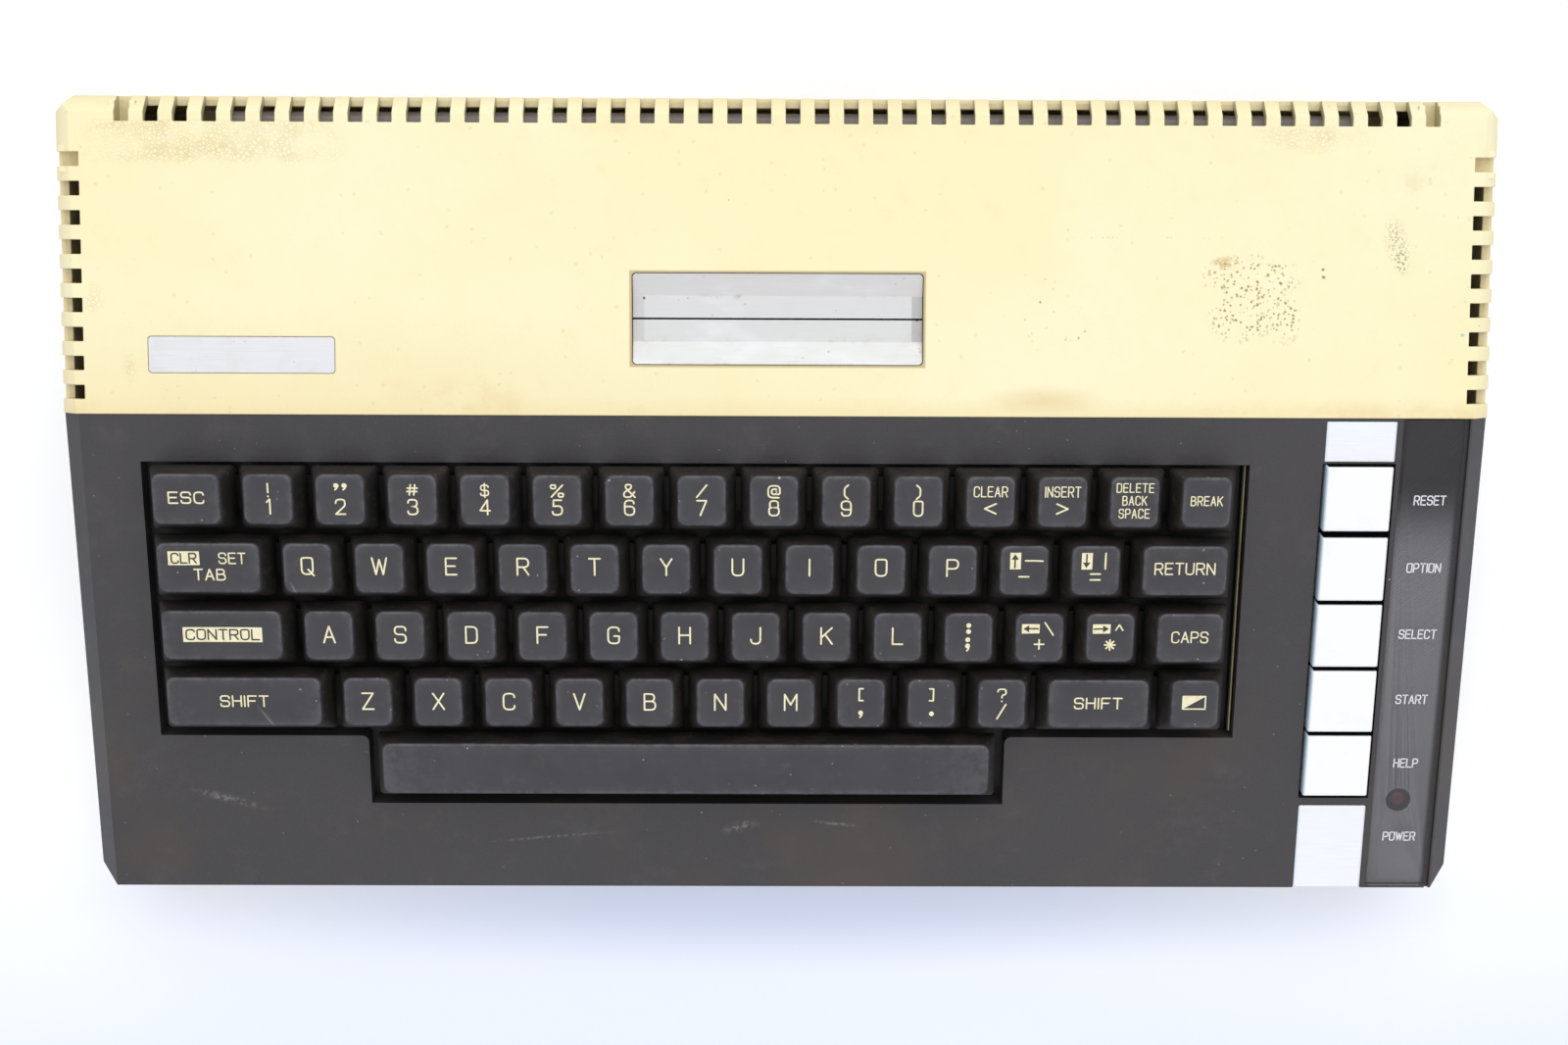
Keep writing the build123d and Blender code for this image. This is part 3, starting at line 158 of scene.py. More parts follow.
# A speck's core and edge, the waves in its outline and their pull, as shares of its size; what a seed moves it by
speck = {"core": 0.35, "edge": 0.7, "wave": 0.7, "pull": 0.9, "seedSteps": (1.0, 1.7, 2.3)}


def specks(coords, spacing, size, seed, share):
    # dots in a share of the cells of a Voronoi pattern, in ragged outline
    tree = coords.id_data
    wobble = addNode(
        tree, "ShaderNodeTexNoise", {"Vector": coords, "Scale": 1000.0 * speck["wave"] / size, "Detail": 1.0})
    moved = addNode(
        tree, "ShaderNodeVectorMath",
        {0: wobble.outputs["Color"], 1: (speck["pull"] * size / spacing,) * 3,
         2: [seed * step for step in speck["seedSteps"]]},
        operation="MULTIPLY_ADD")
    scaled = addNode(
        tree, "ShaderNodeVectorMath", {0: coords, 1: (1000.0 / spacing,) * 3, 2: moved}, operation="MULTIPLY_ADD")
    cells = addNode(tree, "ShaderNodeTexVoronoi", {"Vector": scaled, "Scale": 1.0})
    near = addNode(tree, "ShaderNodeMapRange", {
        "Value": cells.outputs["Distance"], "From Min": speck["core"] * size / spacing,
        "From Max": speck["edge"] * size / spacing, "To Min": 1.0, "To Max": 0.0})
    chance = addNode(tree, "ShaderNodeSeparateColor", {"Color": cells.outputs["Color"]}).outputs["Red"]
    return overlap(near, addNode(tree, "ShaderNodeMath", {0: chance, 1: 1.0 - share}, operation="GREATER_THAN"))


def overSlope(coords, low, high):
    # fades in between two heights over the keyboard slope
    tree = coords.id_data
    rise = addNode(tree, "ShaderNodeVectorMath", {0: coords, 1: (0, -slopeSin, slopeCos)}, operation="DOT_PRODUCT")
    start = (slope["top"] * slopeCos - slope["seam"] * slopeSin) * mm
    return addNode(tree, "ShaderNodeMapRange", {
        "Value": rise.outputs["Value"], "From Min": start + low * mm, "From Max": start + high * mm})


def paint(base, *layers):
    # lays colours over base; each layer is a colour and the masks or shares that are multiplied for it
    for colour, *masks in layers:
        share = overlap(*masks)
        base = addNode(share.id_data, "ShaderNodeMix", {0: share, 6: base, 7: colour}, data_type="RGBA")
    return base


def finishSurface(shader, colour, gloss=None, relief=()):
    # links colour, roughness as (mask, from, to) and bumps as (height, strength, depth in mm) to the shader
    tree = shader.id_data
    tree.links.new(next(out for out in colour.outputs if out.enabled), shader.inputs["Base Color"])
    if gloss:
        rough = addNode(tree, "ShaderNodeMapRange", {"Value": gloss[0], "To Min": gloss[1], "To Max": gloss[2]})
        tree.links.new(rough.outputs["Result"], shader.inputs["Roughness"])
    normal = None
    for height, strength, depth in relief:
        inputs = {"Height": height, "Strength": strength, "Distance": depth * mm}
        normal = addNode(tree, "ShaderNodeBump", {**inputs, "Normal": normal} if normal else inputs)
    if normal:
        tree.links.new(normal.outputs["Normal"], shader.inputs["Normal"])


# Deck housing: ABS from a grained steel tool, yellowed by age: warm cream, soft sheen, leather grain, old dirt
# Painted shade darkens the deck below its top, in its vents and round the doors' opening
deckLook = {
    "fresh": "#fdf5ca", "yellow": "#fbf0bd", "warm": "#f2dea4", "side": "#ead9a8", "stain": "#e8c88c",
    "grimeAndShade": "#c2a676", "speck": "#83602e", "tan": "#a98140", "fleck": "#d9c294", "slotWallShade": "#ded3a9",
    "slotFloorShade": "#cdb88d", "slotSideShade": "#aaa37e", "rim": "#b39c6c", "crease": "#d3b36c", "crestHighlight": "#fffbe6",
    "print": "#6f6455", "smear": "#cda75f", "transfer": "#9cc4bd",
}
# Marks on the deck: centre, half sizes, softness and turn
deckMarks = {
    "crust": (
        ((124.8, 62.3, 58), (15, 7.5, 9), 0.45), ((122.3, 52.2, 58), (10.5, 8, 9), 0.5),
        ((133.4, 52.7, 58), (5, 9, 9), 0.5, 10)),
    "strays": (((69, 55, 58), (7, 14, 9), 0.9), ((78, 48, 58), (6, 5, 9), 0.9)),
    "crumbs": (((143.6, 64.8, 58), (0.55, 0.5, 9)), ((143.8, 62.8, 58), (0.7, 0.5, 9), 0.5, -30)),
    "seamStain": ((-81, 32, 58), (34, 6, 9), 1), "seamStainRight": ((71, 30, 58), (20, 5, 9), 1),
    "shadow": ((168, 88, 58), (7, 10, 9), 0.9), "smear": ((117.7, 66.4, 58), (5, 2.2, 9), 0.8),
    "printTip": ((164.2, 67.2, 58), (2.7, 4.8, 9), 0.7, 10), "print": ((162.8, 71.8, 58), (4.1, 8.5, 9), 0.7, 12),
    "transfer": ((181, 47.7, 58), (0.9, 0.7, 9), 0.8), "grainRight": ((138, 99, 58), (24, 6, 9), 1),
    "grainLeft": (((-180, 55.3, 58), (4, 7, 9), 1), ((-171, 37.6, 58), (3, 8, 9), 1)),
}
# Strips of the deck: axis, where each fades in and where it fades out
deckZones = {
    "below": ("Z", None, (52.6, 57.4)), "ventDepth": ("Z", (44, 46.5), (56.2, 57.2)),
    "rearBand": ("Y", (97.5, 101), (106, 112)), "seamEdge": ("Y", None, (25.6, 31.5)),
    "frontHalf": ("Y", None, (28, 62)), "leftHalf": ("X", None, (-110, 70)), "seamDirt": ("Y", None, (26.5, 32)),
    "slotsAcross": ("X", (-176.2, -176), (176, 176.2)), "slotsUp": ("Y", (97, 97.5)),
    "rimAcross": ("X", (-39.3, -38.8), (38.8, 39.3)), "rimUp": ("Y", (38.2, 38.8), (63.6, 64.2)),
    "scratchUp": ("Y", (72.6, 72.9), (73, 73.3)), "scratchAcross": ("X", (74, 84), (110, 124)),
    "grainUp": ("Y", (89.5, 94), (101.8, 103)), "grainTop": ("Z", (56, 57)),
    "grainAcross": ("X", (-184, -174), (-134, -106)),
}
# The vents lie behind the outer faces and their bevel: direction of each face and how far out it stands
ventBounds = (
    ((0, 1, 0), 107.9), ((1, 0, 0), 188.6), ((-1, 0, 0), 188.6),
    ((0, 1, 1), 161.4), ((1, 0, 1), 242.1), ((-1, 0, 1), 242.1),
)
# Folds of the leather grain: about 1 mm wide, bent by a coarser noise; width of their lines as shares of a fold
leather = {"fold": 1.05, "bend": 1.1, "wave": 3, "line": (0.02, 0.22), "overall": 0.08}


def makeYellowedAbs():
    look, marks, zones = deckLook, deckMarks, deckZones
    material, shader, coords = newMaterial("yellowedAbs", {"Roughness": 0.5, "IOR": 1.53})
    tree = coords.id_data
    drift = clouds(coords, 120, 0.35, 0.65)
    mottle = clouds(coords, 6, 0.5, 0.85, 5, 0.65)
    smudge = clouds(coords, 24, 0.45, 0.75, 5, 0.7)
    coarse = specks(coords, 1.4, 0.74, 3.1, 0.62)
    fine = specks(coords, 0.9, 0.52, 7.9, 0.5)
    loose = specks(coords, 1.8, 0.62, 6.4, 0.42)
    thin = clouds(coords, 7, 0.32, 0.44)
    below = zone(coords, *zones["below"])
    inVents = zone(coords, *zones["ventDepth"])
    for direction, limit in ventBounds:
        out = addNode(tree, "ShaderNodeVectorMath", {0: coords, 1: direction}, operation="DOT_PRODUCT")
        behind = addNode(
            tree, "ShaderNodeMath", {0: out.outputs["Value"], 1: limit * mm}, operation="LESS_THAN")
        inVents = overlap(inVents, behind)
    # side walls of the rear vents, told by their normal, for a painted shade
    normal = addNode(tree, "ShaderNodeNewGeometry").outputs["True Normal"]
    across = addNode(tree, "ShaderNodeVectorMath", {0: normal, 1: (1, 0, 0)}, operation="DOT_PRODUCT")
    steep = addNode(tree, "ShaderNodeMath", {0: across.outputs["Value"]}, operation="ABSOLUTE")
    sideways = addNode(tree, "ShaderNodeMath", {0: steep, 1: 0.8}, operation="GREATER_THAN")
    patches = gather(*[spot(coords, *mark) for mark in marks["crust"]])
    strays = gather(*[spot(coords, *mark) for mark in marks["strays"]])
    crumbs = gather(*[spot(coords, *mark) for mark in marks["crumbs"]])
    fingerprint = gather(spot(coords, *marks["printTip"]), overlap(spot(coords, *marks["print"]), 0.6))
    colour = paint(
        look["fresh"],
        (look["yellow"], drift),
        (look["warm"], mottle, 0.22),
        (look["warm"], zone(coords, *zones["rearBand"]), smudge, 0.35),
        (look["warm"], zone(coords, *zones["seamEdge"]), 0.5),
        (look["warm"], zone(coords, *zones["frontHalf"]), zone(coords, *zones["leftHalf"]), 0.45),
        (look["stain"], zone(coords, *zones["seamDirt"]), clouds(coords, 34, 0.5, 0.68, 5, 0.7), 0.4),
        (look["stain"], spot(coords, *marks["seamStain"]), smudge, 0.5),
        (look["stain"], spot(coords, *marks["seamStainRight"]), 0.55),
        # a painted shadow in patches near the deck's right rear
        (look["grimeAndShade"], spot(coords, *marks["shadow"]), smudge, 0.3),
        # painted shade on everything below the deck's top: side walls, bevels and vents
        (look["side"], below, 0.75),
        # painted shade inside the vents, with grime in patches on their floors
        (look["slotWallShade"], inVents, 0.5),
        (look["slotFloorShade"], inVents, clouds(coords, 5, 0.4, 0.7, 5, 0.7), 0.6),
        (look["slotSideShade"], sideways, zone(coords, *zones["slotsAcross"]), zone(coords, *zones["slotsUp"]), 0.75),
        # more painted shade low down, in patches, mixed with grime
        (look["grimeAndShade"], below, clouds(coords, 8, 0.58, 0.8, 5, 0.7), 0.5),
        # painted shade round the rim of the doors' opening and down its walls
        (look["rim"], zone(coords, *zones["rimAcross"]), zone(coords, *zones["rimUp"]), 0.75),
        (look["smear"], spot(coords, *marks["smear"]), clouds(coords, 1.6, 0.35, 0.6), 0.75),
        (look["tan"], fine, patches, thin, 0.9),
        (look["speck"], coarse, patches, thin, 0.8),
        (look["speck"], loose, strays, 0.8),
        # a faint scratch
        (look["print"], specks(coords, 0.9, 0.5, 2.7, 0.6), zone(coords, *zones["scratchUp"]),
         zone(coords, *zones["scratchAcross"]), 0.3),
        (look["print"], specks(coords, 0.7, 0.56, 1.4, 0.95), fingerprint, 0.78),
        (look["speck"], crumbs, 0.8),
        (look["transfer"], spot(coords, *marks["transfer"]), 0.8),
        (look["speck"], specks(coords, 9, 0.5, 8.3, 0.22), 0.45),
        (look["fleck"], specks(coords, 3.4, 0.9, 12.3, 0.3), 0.3),
    )
    # the folds stand out in a band before the rear vents, most at its left end: their creases take painted shade and
    # the band a painted highlight
    wave = addNode(
        tree, "ShaderNodeTexNoise", {"Vector": coords, "Scale": 1000.0 / leather["wave"], "Detail": 2.0})
    bent = addNode(
        tree, "ShaderNodeVectorMath", {0: wave.outputs["Color"], 1: (leather["bend"] * mm,) * 3, 2: coords},
        operation="MULTIPLY_ADD")
    folds = addNode(
        tree, "ShaderNodeTexVoronoi", {"Vector": bent, "Scale": 1000.0 / leather["fold"]},
        feature="DISTANCE_TO_EDGE")
    crease = addNode(tree, "ShaderNodeMapRange", {
        "Value": folds.outputs["Distance"], "From Min": leather["line"][0], "From Max": leather["line"][1],
        "To Min": 1.0, "To Max": 0.0})
    band = overlap(
        overlap(zone(coords, *zones["grainUp"]), zone(coords, *zones["grainTop"])),
        gather(zone(coords, *zones["grainAcross"]), spot(coords, *marks["grainRight"])))
    share = gather(band, *[spot(coords, *mark) for mark in marks["grainLeft"]], leather["overall"])
    reach = overlap(share, crease)
    colour = paint(
        colour,
        (look["crease"], reach, clouds(coords, 7, 0.3, 0.7), 0.55),
        (look["crestHighlight"], share, clouds(coords, 1.1, 0.5, 0.7), 0.25))
    height = addNode(tree, "ShaderNodeMath", {0: 1.0, 1: reach}, operation="SUBTRACT")
    finishSurface(shader, colour, (mottle, 0.42, 0.56), [(height, 0.6, 0.1), (mottle, 0.1, 0.05)])
    return material


# Keyboard surround: charcoal ABS from a spark-eroded tool: satin with a fine even tooth, dust and old scuffs.
# The silvered bed under the strip belongs to it; towards the rear it is left charcoal, part of the strip's painted
# dark reflection
bezelLook = {
    "dark": "#302e31", "light": "#373537", "grey": "#4a4749", "dust": "#8a8581", "brown": "#4d4036",
    "rust": "#7d5a48", "lint": "#d8d5d0", "bed": "#bdbcc0", "tooth": 0.45,
    "smudge": ((-4, 18, 55), (4, 6, 60), 1), "brownHalf": ("Y", None, (-60, 20)),
    "bedAcross": ("X", (166.0, 166.1), (181.5, 183.4)), "bedFrontOfReflection": ("Y", None, (-16, 9)),
    "scuffs": (
        ((-99, 9, 55), (10, 0.5, 60), 0.9, -24), ((-152, -83, 35), (13, 1.8, 60), 1, -15),
        ((-62, -94, 33), (22, 0.6, 60), 1, 5), ((-10, -91, 33), (7, 2.2, 60), 1, 15),
        ((17, -90, 33), (9, 0.8, 60), 1, -6)),
}


def makeCharcoalAbs():
    look = bezelLook
    material, shader, coords = newMaterial("charcoalAbs", {"Roughness": 0.5, "IOR": 1.53})
    drift = clouds(coords, 70, 0.35, 0.7)
    tooth = clouds(coords, look["tooth"], 0.3, 0.8, 2)
    scuffs = gather(*[spot(coords, *scuff) for scuff in look["scuffs"]])
    colour = paint(
        look["dark"],
        (look["light"], drift),
        (look["grey"], tooth, 0.3),
        (look["dust"], clouds(coords, 16, 0.5, 0.8, 5, 0.7), 0.10),
        (look["brown"], zone(coords, *look["brownHalf"]), clouds(coords, 40, 0.45, 0.7), 0.45),
        (look["dust"], scuffs, clouds(coords, 1.3, 0.4, 0.62, 4, 0.7), 0.6),
        (look["brown"], specks(coords, 5, 0.6, 7.7, 0.4), 0.8),
        (look["rust"], specks(coords, 1.4, 0.5, 3.3, 0.5), spot(coords, *look["smudge"]), 0.7),
        (look["dust"], specks(coords, 3.4, 0.34, 5.2, 0.45), 0.75),
        (look["lint"], specks(coords, 19, 0.55, 1.9, 0.35), 0.9),
        (look["bed"], zone(coords, *look["bedAcross"]), zone(coords, *look["bedFrontOfReflection"]),
         overSlope(coords, -1.2, -1.3), overSlope(coords, -1.7, -1.6)),
    )
    finishSurface(shader, colour, (drift, 0.44, 0.58), [(tooth, 0.3, 0.05)])
    return material


# Key caps: double-shot ABS, tumbled matt, polished by fingers: slate tops, paler edges, almost black sides
# The paler edges are wear and a painted highlight; the near black sides are painted shade, with some grime
capLook = {
    "top": "#313035", "pale": "#37363b", "wornAndHighlight": "#605e63", "grime": "#57504a", "polish": "#d6d2cd",
    "lint": "#b5b1ac", "scratch": "#8c8883", "skirtShadeAndGrime": "#1e1a18", "smear": "#4b4036", "dust": "#7b746c",
    "chip": "#e9e6df", "ink": "#f8efc6", "inkShade": "#dcc98f", "inkDirt": "#9b8a5e",
}
# Scratches on the tops and a chip on one side: centre, half sizes, softness and turn
capMarks = {
    "rightShift": ((-137, -58, 45), (7.5, 0.5, 60), 1, -52), "tab": ((-128.5, -21, 52), (3.2, 0.4, 60), 1, -65),
    "bar": ((-108, -92, 36), (5, 3, 60), 1, 20), "chip": ((-114.6, -1.2, 56), (0.7, 1.5, 5), 0.5, 15),
}


def makeKeyTop():
    look, marks = capLook, capMarks
    material, shader, coords = newMaterial("doubleShotAbsTop", {"Roughness": 0.5, "IOR": 1.53})
    drift = clouds(coords, 10, 0.35, 0.7)
    wear = addNode(coords.id_data, "ShaderNodeAttribute", attribute_name="wear").outputs["Fac"]
    colour = paint(
        look["top"],
        (look["pale"], drift),
        # the paler rim: partly wear, partly painted highlight
        (look["wornAndHighlight"], wear, clouds(coords, 3.5, 0.34, 0.62, 4, 0.7), 0.6),
        (look["grime"], clouds(coords, 4.5, 0.55, 0.8, 5, 0.7), 0.35),
        (look["polish"], wear, specks(coords, 4.5, 0.6, 2.6, 0.22), 0.8),
        (look["lint"], specks(coords, 3.4, 0.42, 4.4, 0.35), 0.6),
        (look["scratch"], spot(coords, *marks["rightShift"]), 0.5),
        (look["scratch"], spot(coords, *marks["tab"]), 0.6),
        (look["scratch"], spot(coords, *marks["bar"]), clouds(coords, 1.2, 0.4, 0.7), 0.35),
    )
    finishSurface(shader, colour, (drift, 0.4, 0.54), [(clouds(coords, 0.5, 0.3, 0.8, 2), 0.2, 0.05)])
    return material


def makeKeySkirt():
    look = capLook
    material, shader, coords = newMaterial("doubleShotAbsSkirtShade", {"Roughness": 0.62, "IOR": 1.53})
    # the sides painted near black: painted shade, with some grime
    smear = clouds(coords, 3, 0.5, 0.78, 5, 0.7, (0.5, 1, 1))
    colour = paint(
        look["skirtShadeAndGrime"],
        (look["smear"], smear, 0.7),
        (look["smear"], clouds(coords, 12, 0.5, 0.7), 0.3),
        (look["dust"], specks(coords, 1.9, 0.4, 9.1, 0.35), 0.7),
        (look["chip"], spot(coords, *capMarks["chip"])),
    )
    finishSurface(shader, colour, None, [(smear, 0.15, 0.1)])
    return material


def makeLegendInk():
    # second shot of the cap: cream ABS, flush and a little waxy, with dirt in it
    look = capLook
    material, shader, coords = newMaterial("creamLegendAbs", {"Roughness": 0.45, "IOR": 1.53})
    finishSurface(shader, paint(
        look["ink"],
        (look["inkShade"], clouds(coords, 1.6, 0.45, 0.75), 0.6),
        (look["inkDirt"], clouds(coords, 0.7, 0.6, 0.8), 0.4)))
    return material


# Console keys: white ABS from a polished tool: bright and even, with painted shade down both edges and low in the
# gaps
brightLook = {
    "key": "#ffffff", "keyShade": "#f8fafb", "keyLeftShade": "#d7eaf3", "keyRightShade": "#e2d5dd", "gap": "#161517",
    "trim": "#f2f5f8", "trimPale": "#fafcfd", "trimLeftShade": "#d2e2ee", "trimRightShade": "#d3c3cf", "speck": "#7b7d80",
    "leftEdge": ("X", None, (146.8, 147.15)), "rightEdge": ("X", (164.0, 164.4)), "inside": ("X", (147.0, 147.1)),
    "trimRightEdge": ("X", (164.2, 164.8)), "trimLeftEdge": ("X", None, (146.2, 147.0)),
}


def makeWhiteAbs():
    look = brightLook
    material, shader, coords = newMaterial("whiteAbs", {"Roughness": 0.4, "IOR": 1.53})
    colour = paint(
        look["key"],
        (look["keyShade"], clouds(coords, 9, 0.5, 0.8), 0.6),
        # painted cool shade down the left edge, painted pinkish shade down the right edge
        (look["keyLeftShade"], zone(coords, *look["leftEdge"])),
        (look["keyRightShade"], zone(coords, *look["rightEdge"]), 0.7),
        # painted shade with some grime low on the walls in the gaps
        (look["gap"], zone(coords, *look["inside"]), overSlope(coords, 1.5, 1.1)),
        (look["speck"], specks(coords, 8, 0.45, 6.1, 0.2), 0.5),
    )
    finishSurface(shader, colour, (clouds(coords, 5, 0.4, 0.7), 0.34, 0.46))
    return material


def makeBrightTrim():
    # lacquered sheet aluminium, brushed across: pale blue grey with a hair-fine grain, its edges painted in shade
    look = brightLook
    material, shader, coords = newMaterial("lacqueredBrightTrim", {"Metallic": 0.15, "Roughness": 0.45})
    hair = clouds(coords, 0.4, 0.3, 0.7, 3, 0.6, (0.05, 1, 1))
    colour = paint(
        look["trim"],
        (look["trimPale"], hair, 0.7),
        (look["trimRightShade"], zone(coords, *look["trimRightEdge"]), 0.8),
        (look["trimLeftShade"], zone(coords, *look["trimLeftEdge"]), 0.7),
        (look["speck"], specks(coords, 5, 0.5, 2.2, 0.25), 0.6),
    )
    finishSurface(shader, colour, None, [(hair, 0.05, 0.03)])
    return material


# Doors: rolled aluminium under silver lacquer, brushed lengthways: four dull strips, each painted in its own light
# and shade
doorLook = {
    "rearOuter": "#dbd9d7", "rearInner": "#d2d3d3", "frontInner": "#d3d4d2", "frontOuter": "#d8dad7",
    "hair": "#c6c5c8", "sheen": "#e9eef2", "shade": "#a9a8ab", "scuff": "#a58b6a", "speck": "#8d765b",
    "rust": "#e3c9b6", "pit": "#4a3b31", "grain": 0.35, "rustSpot": ((30.5, 54.5, 56), (1.8, 1.8, 9), 0.8),
    "pits": (((-35.3, 56.6, 56), (0.45, 0.45, 9), 0.6), ((36.9, 51.0, 56), (0.45, 0.45, 9), 0.6)),
}
# Strips and folds of the doors: axis, fade in and fade out
doorZones = {
    "rearInner": ("Y", None, (57.1, 57.3)), "frontInner": ("Y", None, (51.1, 51.3)),
    "frontOuter": ("Y", None, (45.1, 45.3)), "inner": ("Y", (45.1, 45.3), (57.1, 57.3)),
    "rightEnd": ("X", (35.2, 35.7)), "leftEnd": ("X", None, (-35.6, -34.9)),
    "rearFold": ("Y", (56.2, 57.2), (57.2, 58.0)), "frontFold": ("Y", (43.8, 46), (46, 48.0)),
    "frontLip": ("Y", None, (39.1, 39.7)),
}


def makeBrushedAluminium():
    look, zones = doorLook, doorZones
    material, shader, coords = newMaterial("lacqueredDoorAluminium", {"Metallic": 0.25, "Roughness": 0.5})
    hair = clouds(coords, look["grain"], 0.3, 0.75, 4, 0.65, (0.03, 1, 1))
    blot = clouds(coords, 3, 0.5, 0.75, 5, 0.7)
    inner = zone(coords, *zones["inner"])
    colour = paint(
        look["rearOuter"],
        (look["rearInner"], zone(coords, *zones["rearInner"])),
        (look["frontInner"], zone(coords, *zones["frontInner"])),
        (look["frontOuter"], zone(coords, *zones["frontOuter"])),
        (look["hair"], hair, 0.22),
        (look["sheen"], clouds(coords, 9, 0.5, 0.7, 3, 0.6, (0.4, 1, 1)), 0.4),
        (look["shade"], inner, zone(coords, *zones["rightEnd"]), 0.75),
        (look["shade"], inner, zone(coords, *zones["leftEnd"]), 0.3),
        # patchy brownish bands along both folds, and along the front lip below
        (look["scuff"], zone(coords, *zones["rearFold"]), blot, clouds(coords, 20, 0.4, 0.6), 0.6),
        (look["scuff"], zone(coords, *zones["frontFold"]), blot, clouds(coords, 16, 0.45, 0.6), 0.45),
        (look["rust"], spot(coords, *look["rustSpot"]), blot, 0.8),
        *[(look["pit"], spot(coords, *pit)) for pit in look["pits"]],
        (look["speck"], specks(coords, 2.2, 0.5, 3.7, 0.2), 0.5),
        (look["scuff"], zone(coords, *zones["frontLip"]), blot, 0.8),
    )
    finishSurface(shader, colour, (blot, 0.42, 0.56), [(hair, 0.08, 0.04)])
    return material


# Bare nameplate: thin aluminium sheet, satin brushed and lacquered, dulled by handling
plateLook = {
    "satin": "#dfe0e2", "hair": "#c9cacd", "dull": "#cfc9c2", "shine": "#f1f3f5", "speck": "#8f857c",
    "grain": 0.35, "shineSpot": ((-141, 17.5, 58), (30, 5, 9), 1),
}


def makePlateAluminium():
    look = plateLook
    material, shader, coords = newMaterial("satinPlateAluminium", {"Metallic": 0.3, "Roughness": 0.42})
    hair = clouds(coords, look["grain"], 0.3, 0.75, 4, 0.6, (0.03, 1, 1))
    dull = clouds(coords, 7, 0.45, 0.8, 5, 0.7)
    colour = paint(
        look["satin"],
        (look["hair"], hair, 0.3),
        (look["dull"], dull, 0.4),
        (look["shine"], spot(coords, *look["shineSpot"]), 0.5),
        (look["speck"], specks(coords, 2.6, 0.4, 5.9, 0.2), 0.5),
    )
    finishSurface(shader, colour, (dull, 0.36, 0.5), [(hair, 0.08, 0.03)])
    return material


# Strip: smoke-tinted cast acrylic with polished bevels: half clear, so its silvered bed and the lamp show dimly
stripLook = {
    "smoke": "#58575b", "darkReflectionAndShade": "#1d1c1f", "end": "#c9b8ac", "left": "#6e6259", "speck": "#a9a4a0",
    "ink": "#eceaed", "inkWorn": "#bdbcc0", "clear": 0.42, "rearHalf": ("Y", (-14, 9)),
    "frontPart": ("Y", None, (-100, -62)), "reflectionStreaks": ("Y", (-14, 16)), "frontEnd": ("Y", None, (-108.1, -107.5)),
    "rightSide": ("X", (181.4, 181.9)), "leftSide": ("X", None, (166.9, 167.3)),
}


def makeSmokedAcrylic():
    look = stripLook
    material, shader, coords = newMaterial(
        "smokedAcrylic", {"Roughness": 0.14, "IOR": 1.49, "Alpha": look["clear"]})
    wipesAndReflection = clouds(coords, 18, 0.35, 0.75, 5, 0.7)
    colour = paint(
        look["smoke"],
        # painted dark reflection over the rear part, running forward in streaks; the front part is a little darker
        (look["darkReflectionAndShade"], zone(coords, *look["rearHalf"]), 0.62),
        (look["darkReflectionAndShade"], zone(coords, *look["frontPart"]), 0.15),
        (look["darkReflectionAndShade"], zone(coords, *look["reflectionStreaks"]), wipesAndReflection, 0.5),
        # a painted highlight along the edge of the front end
        (look["end"], zone(coords, *look["frontEnd"]), overSlope(coords, 0.1, 0.3), 0.8),
        # darker along the right side, paler brown along the left side
        (look["darkReflectionAndShade"], zone(coords, *look["rightSide"]), 0.7),
        (look["left"], zone(coords, *look["leftSide"]), 0.5),
        (look["speck"], specks(coords, 4, 0.4, 3.9, 0.3), 0.5),
    )
    finishSurface(shader, colour, (wipesAndReflection, 0.1, 0.24))
    return material


def makeStripInk():
    # screen-printed enamel: light grey with soft, worn edges
    material, shader, coords = newMaterial("screenPrintEnamel", {"Roughness": 0.5})
    finishSurface(shader, paint(stripLook["ink"], (stripLook["inkWorn"], clouds(coords, 0.9, 0.5, 0.8), 0.6)))
    return material


def makeRedLamp():
    # diffused epoxy lamp, unlit: ruby with a soft highlight
    material, shader, coords = newMaterial("rubyEpoxyLamp", {"Roughness": 0.2, "IOR": 1.55, "Coat Weight": 0.5})
    finishSurface(shader, paint("#ab2733", ("#5f141d", clouds(coords, 2, 0.4, 0.7), 0.6)))
    return material


def makeZincSteel():
    # zinc-plated sheet steel: cool grey, faint spangle, brown bloom
    material, shader, coords = newMaterial("zincPlatedSteel", {"Metallic": 0.85, "Roughness": 0.38})
    cells = addNode(coords.id_data, "ShaderNodeTexVoronoi", {"Vector": coords, "Scale": 1000.0 / 5})
    spangle = addNode(
        coords.id_data, "ShaderNodeSeparateColor", {"Color": cells.outputs["Color"]}).outputs["Green"]
    colour = paint(
        "#a6a9ac", ("#c2c5c8", spangle), ("#6d6253", clouds(coords, 9, 0.55, 0.8, 5, 0.7), 0.6),
        ("#d9d9d9", specks(coords, 3, 0.5, 2.9, 0.3), 0.6))
    finishSurface(shader, colour, (spangle, 0.3, 0.48))
    return material


def makeDullTin():
    # tinned sheet gone matt: pale grey even where little light falls
    material, shader, coords = newMaterial("dullTinnedSheet", {"Metallic": 0.15, "Roughness": 0.6})
    finishSurface(shader, paint("#c9c3c2", ("#8d817b", clouds(coords, 9, 0.5, 0.8, 5, 0.7), 0.7)))
    return material


# Where the folded edge of the guide frame lies
guideFold = ("X", (125.4, 125.45), (126.0, 126.2))


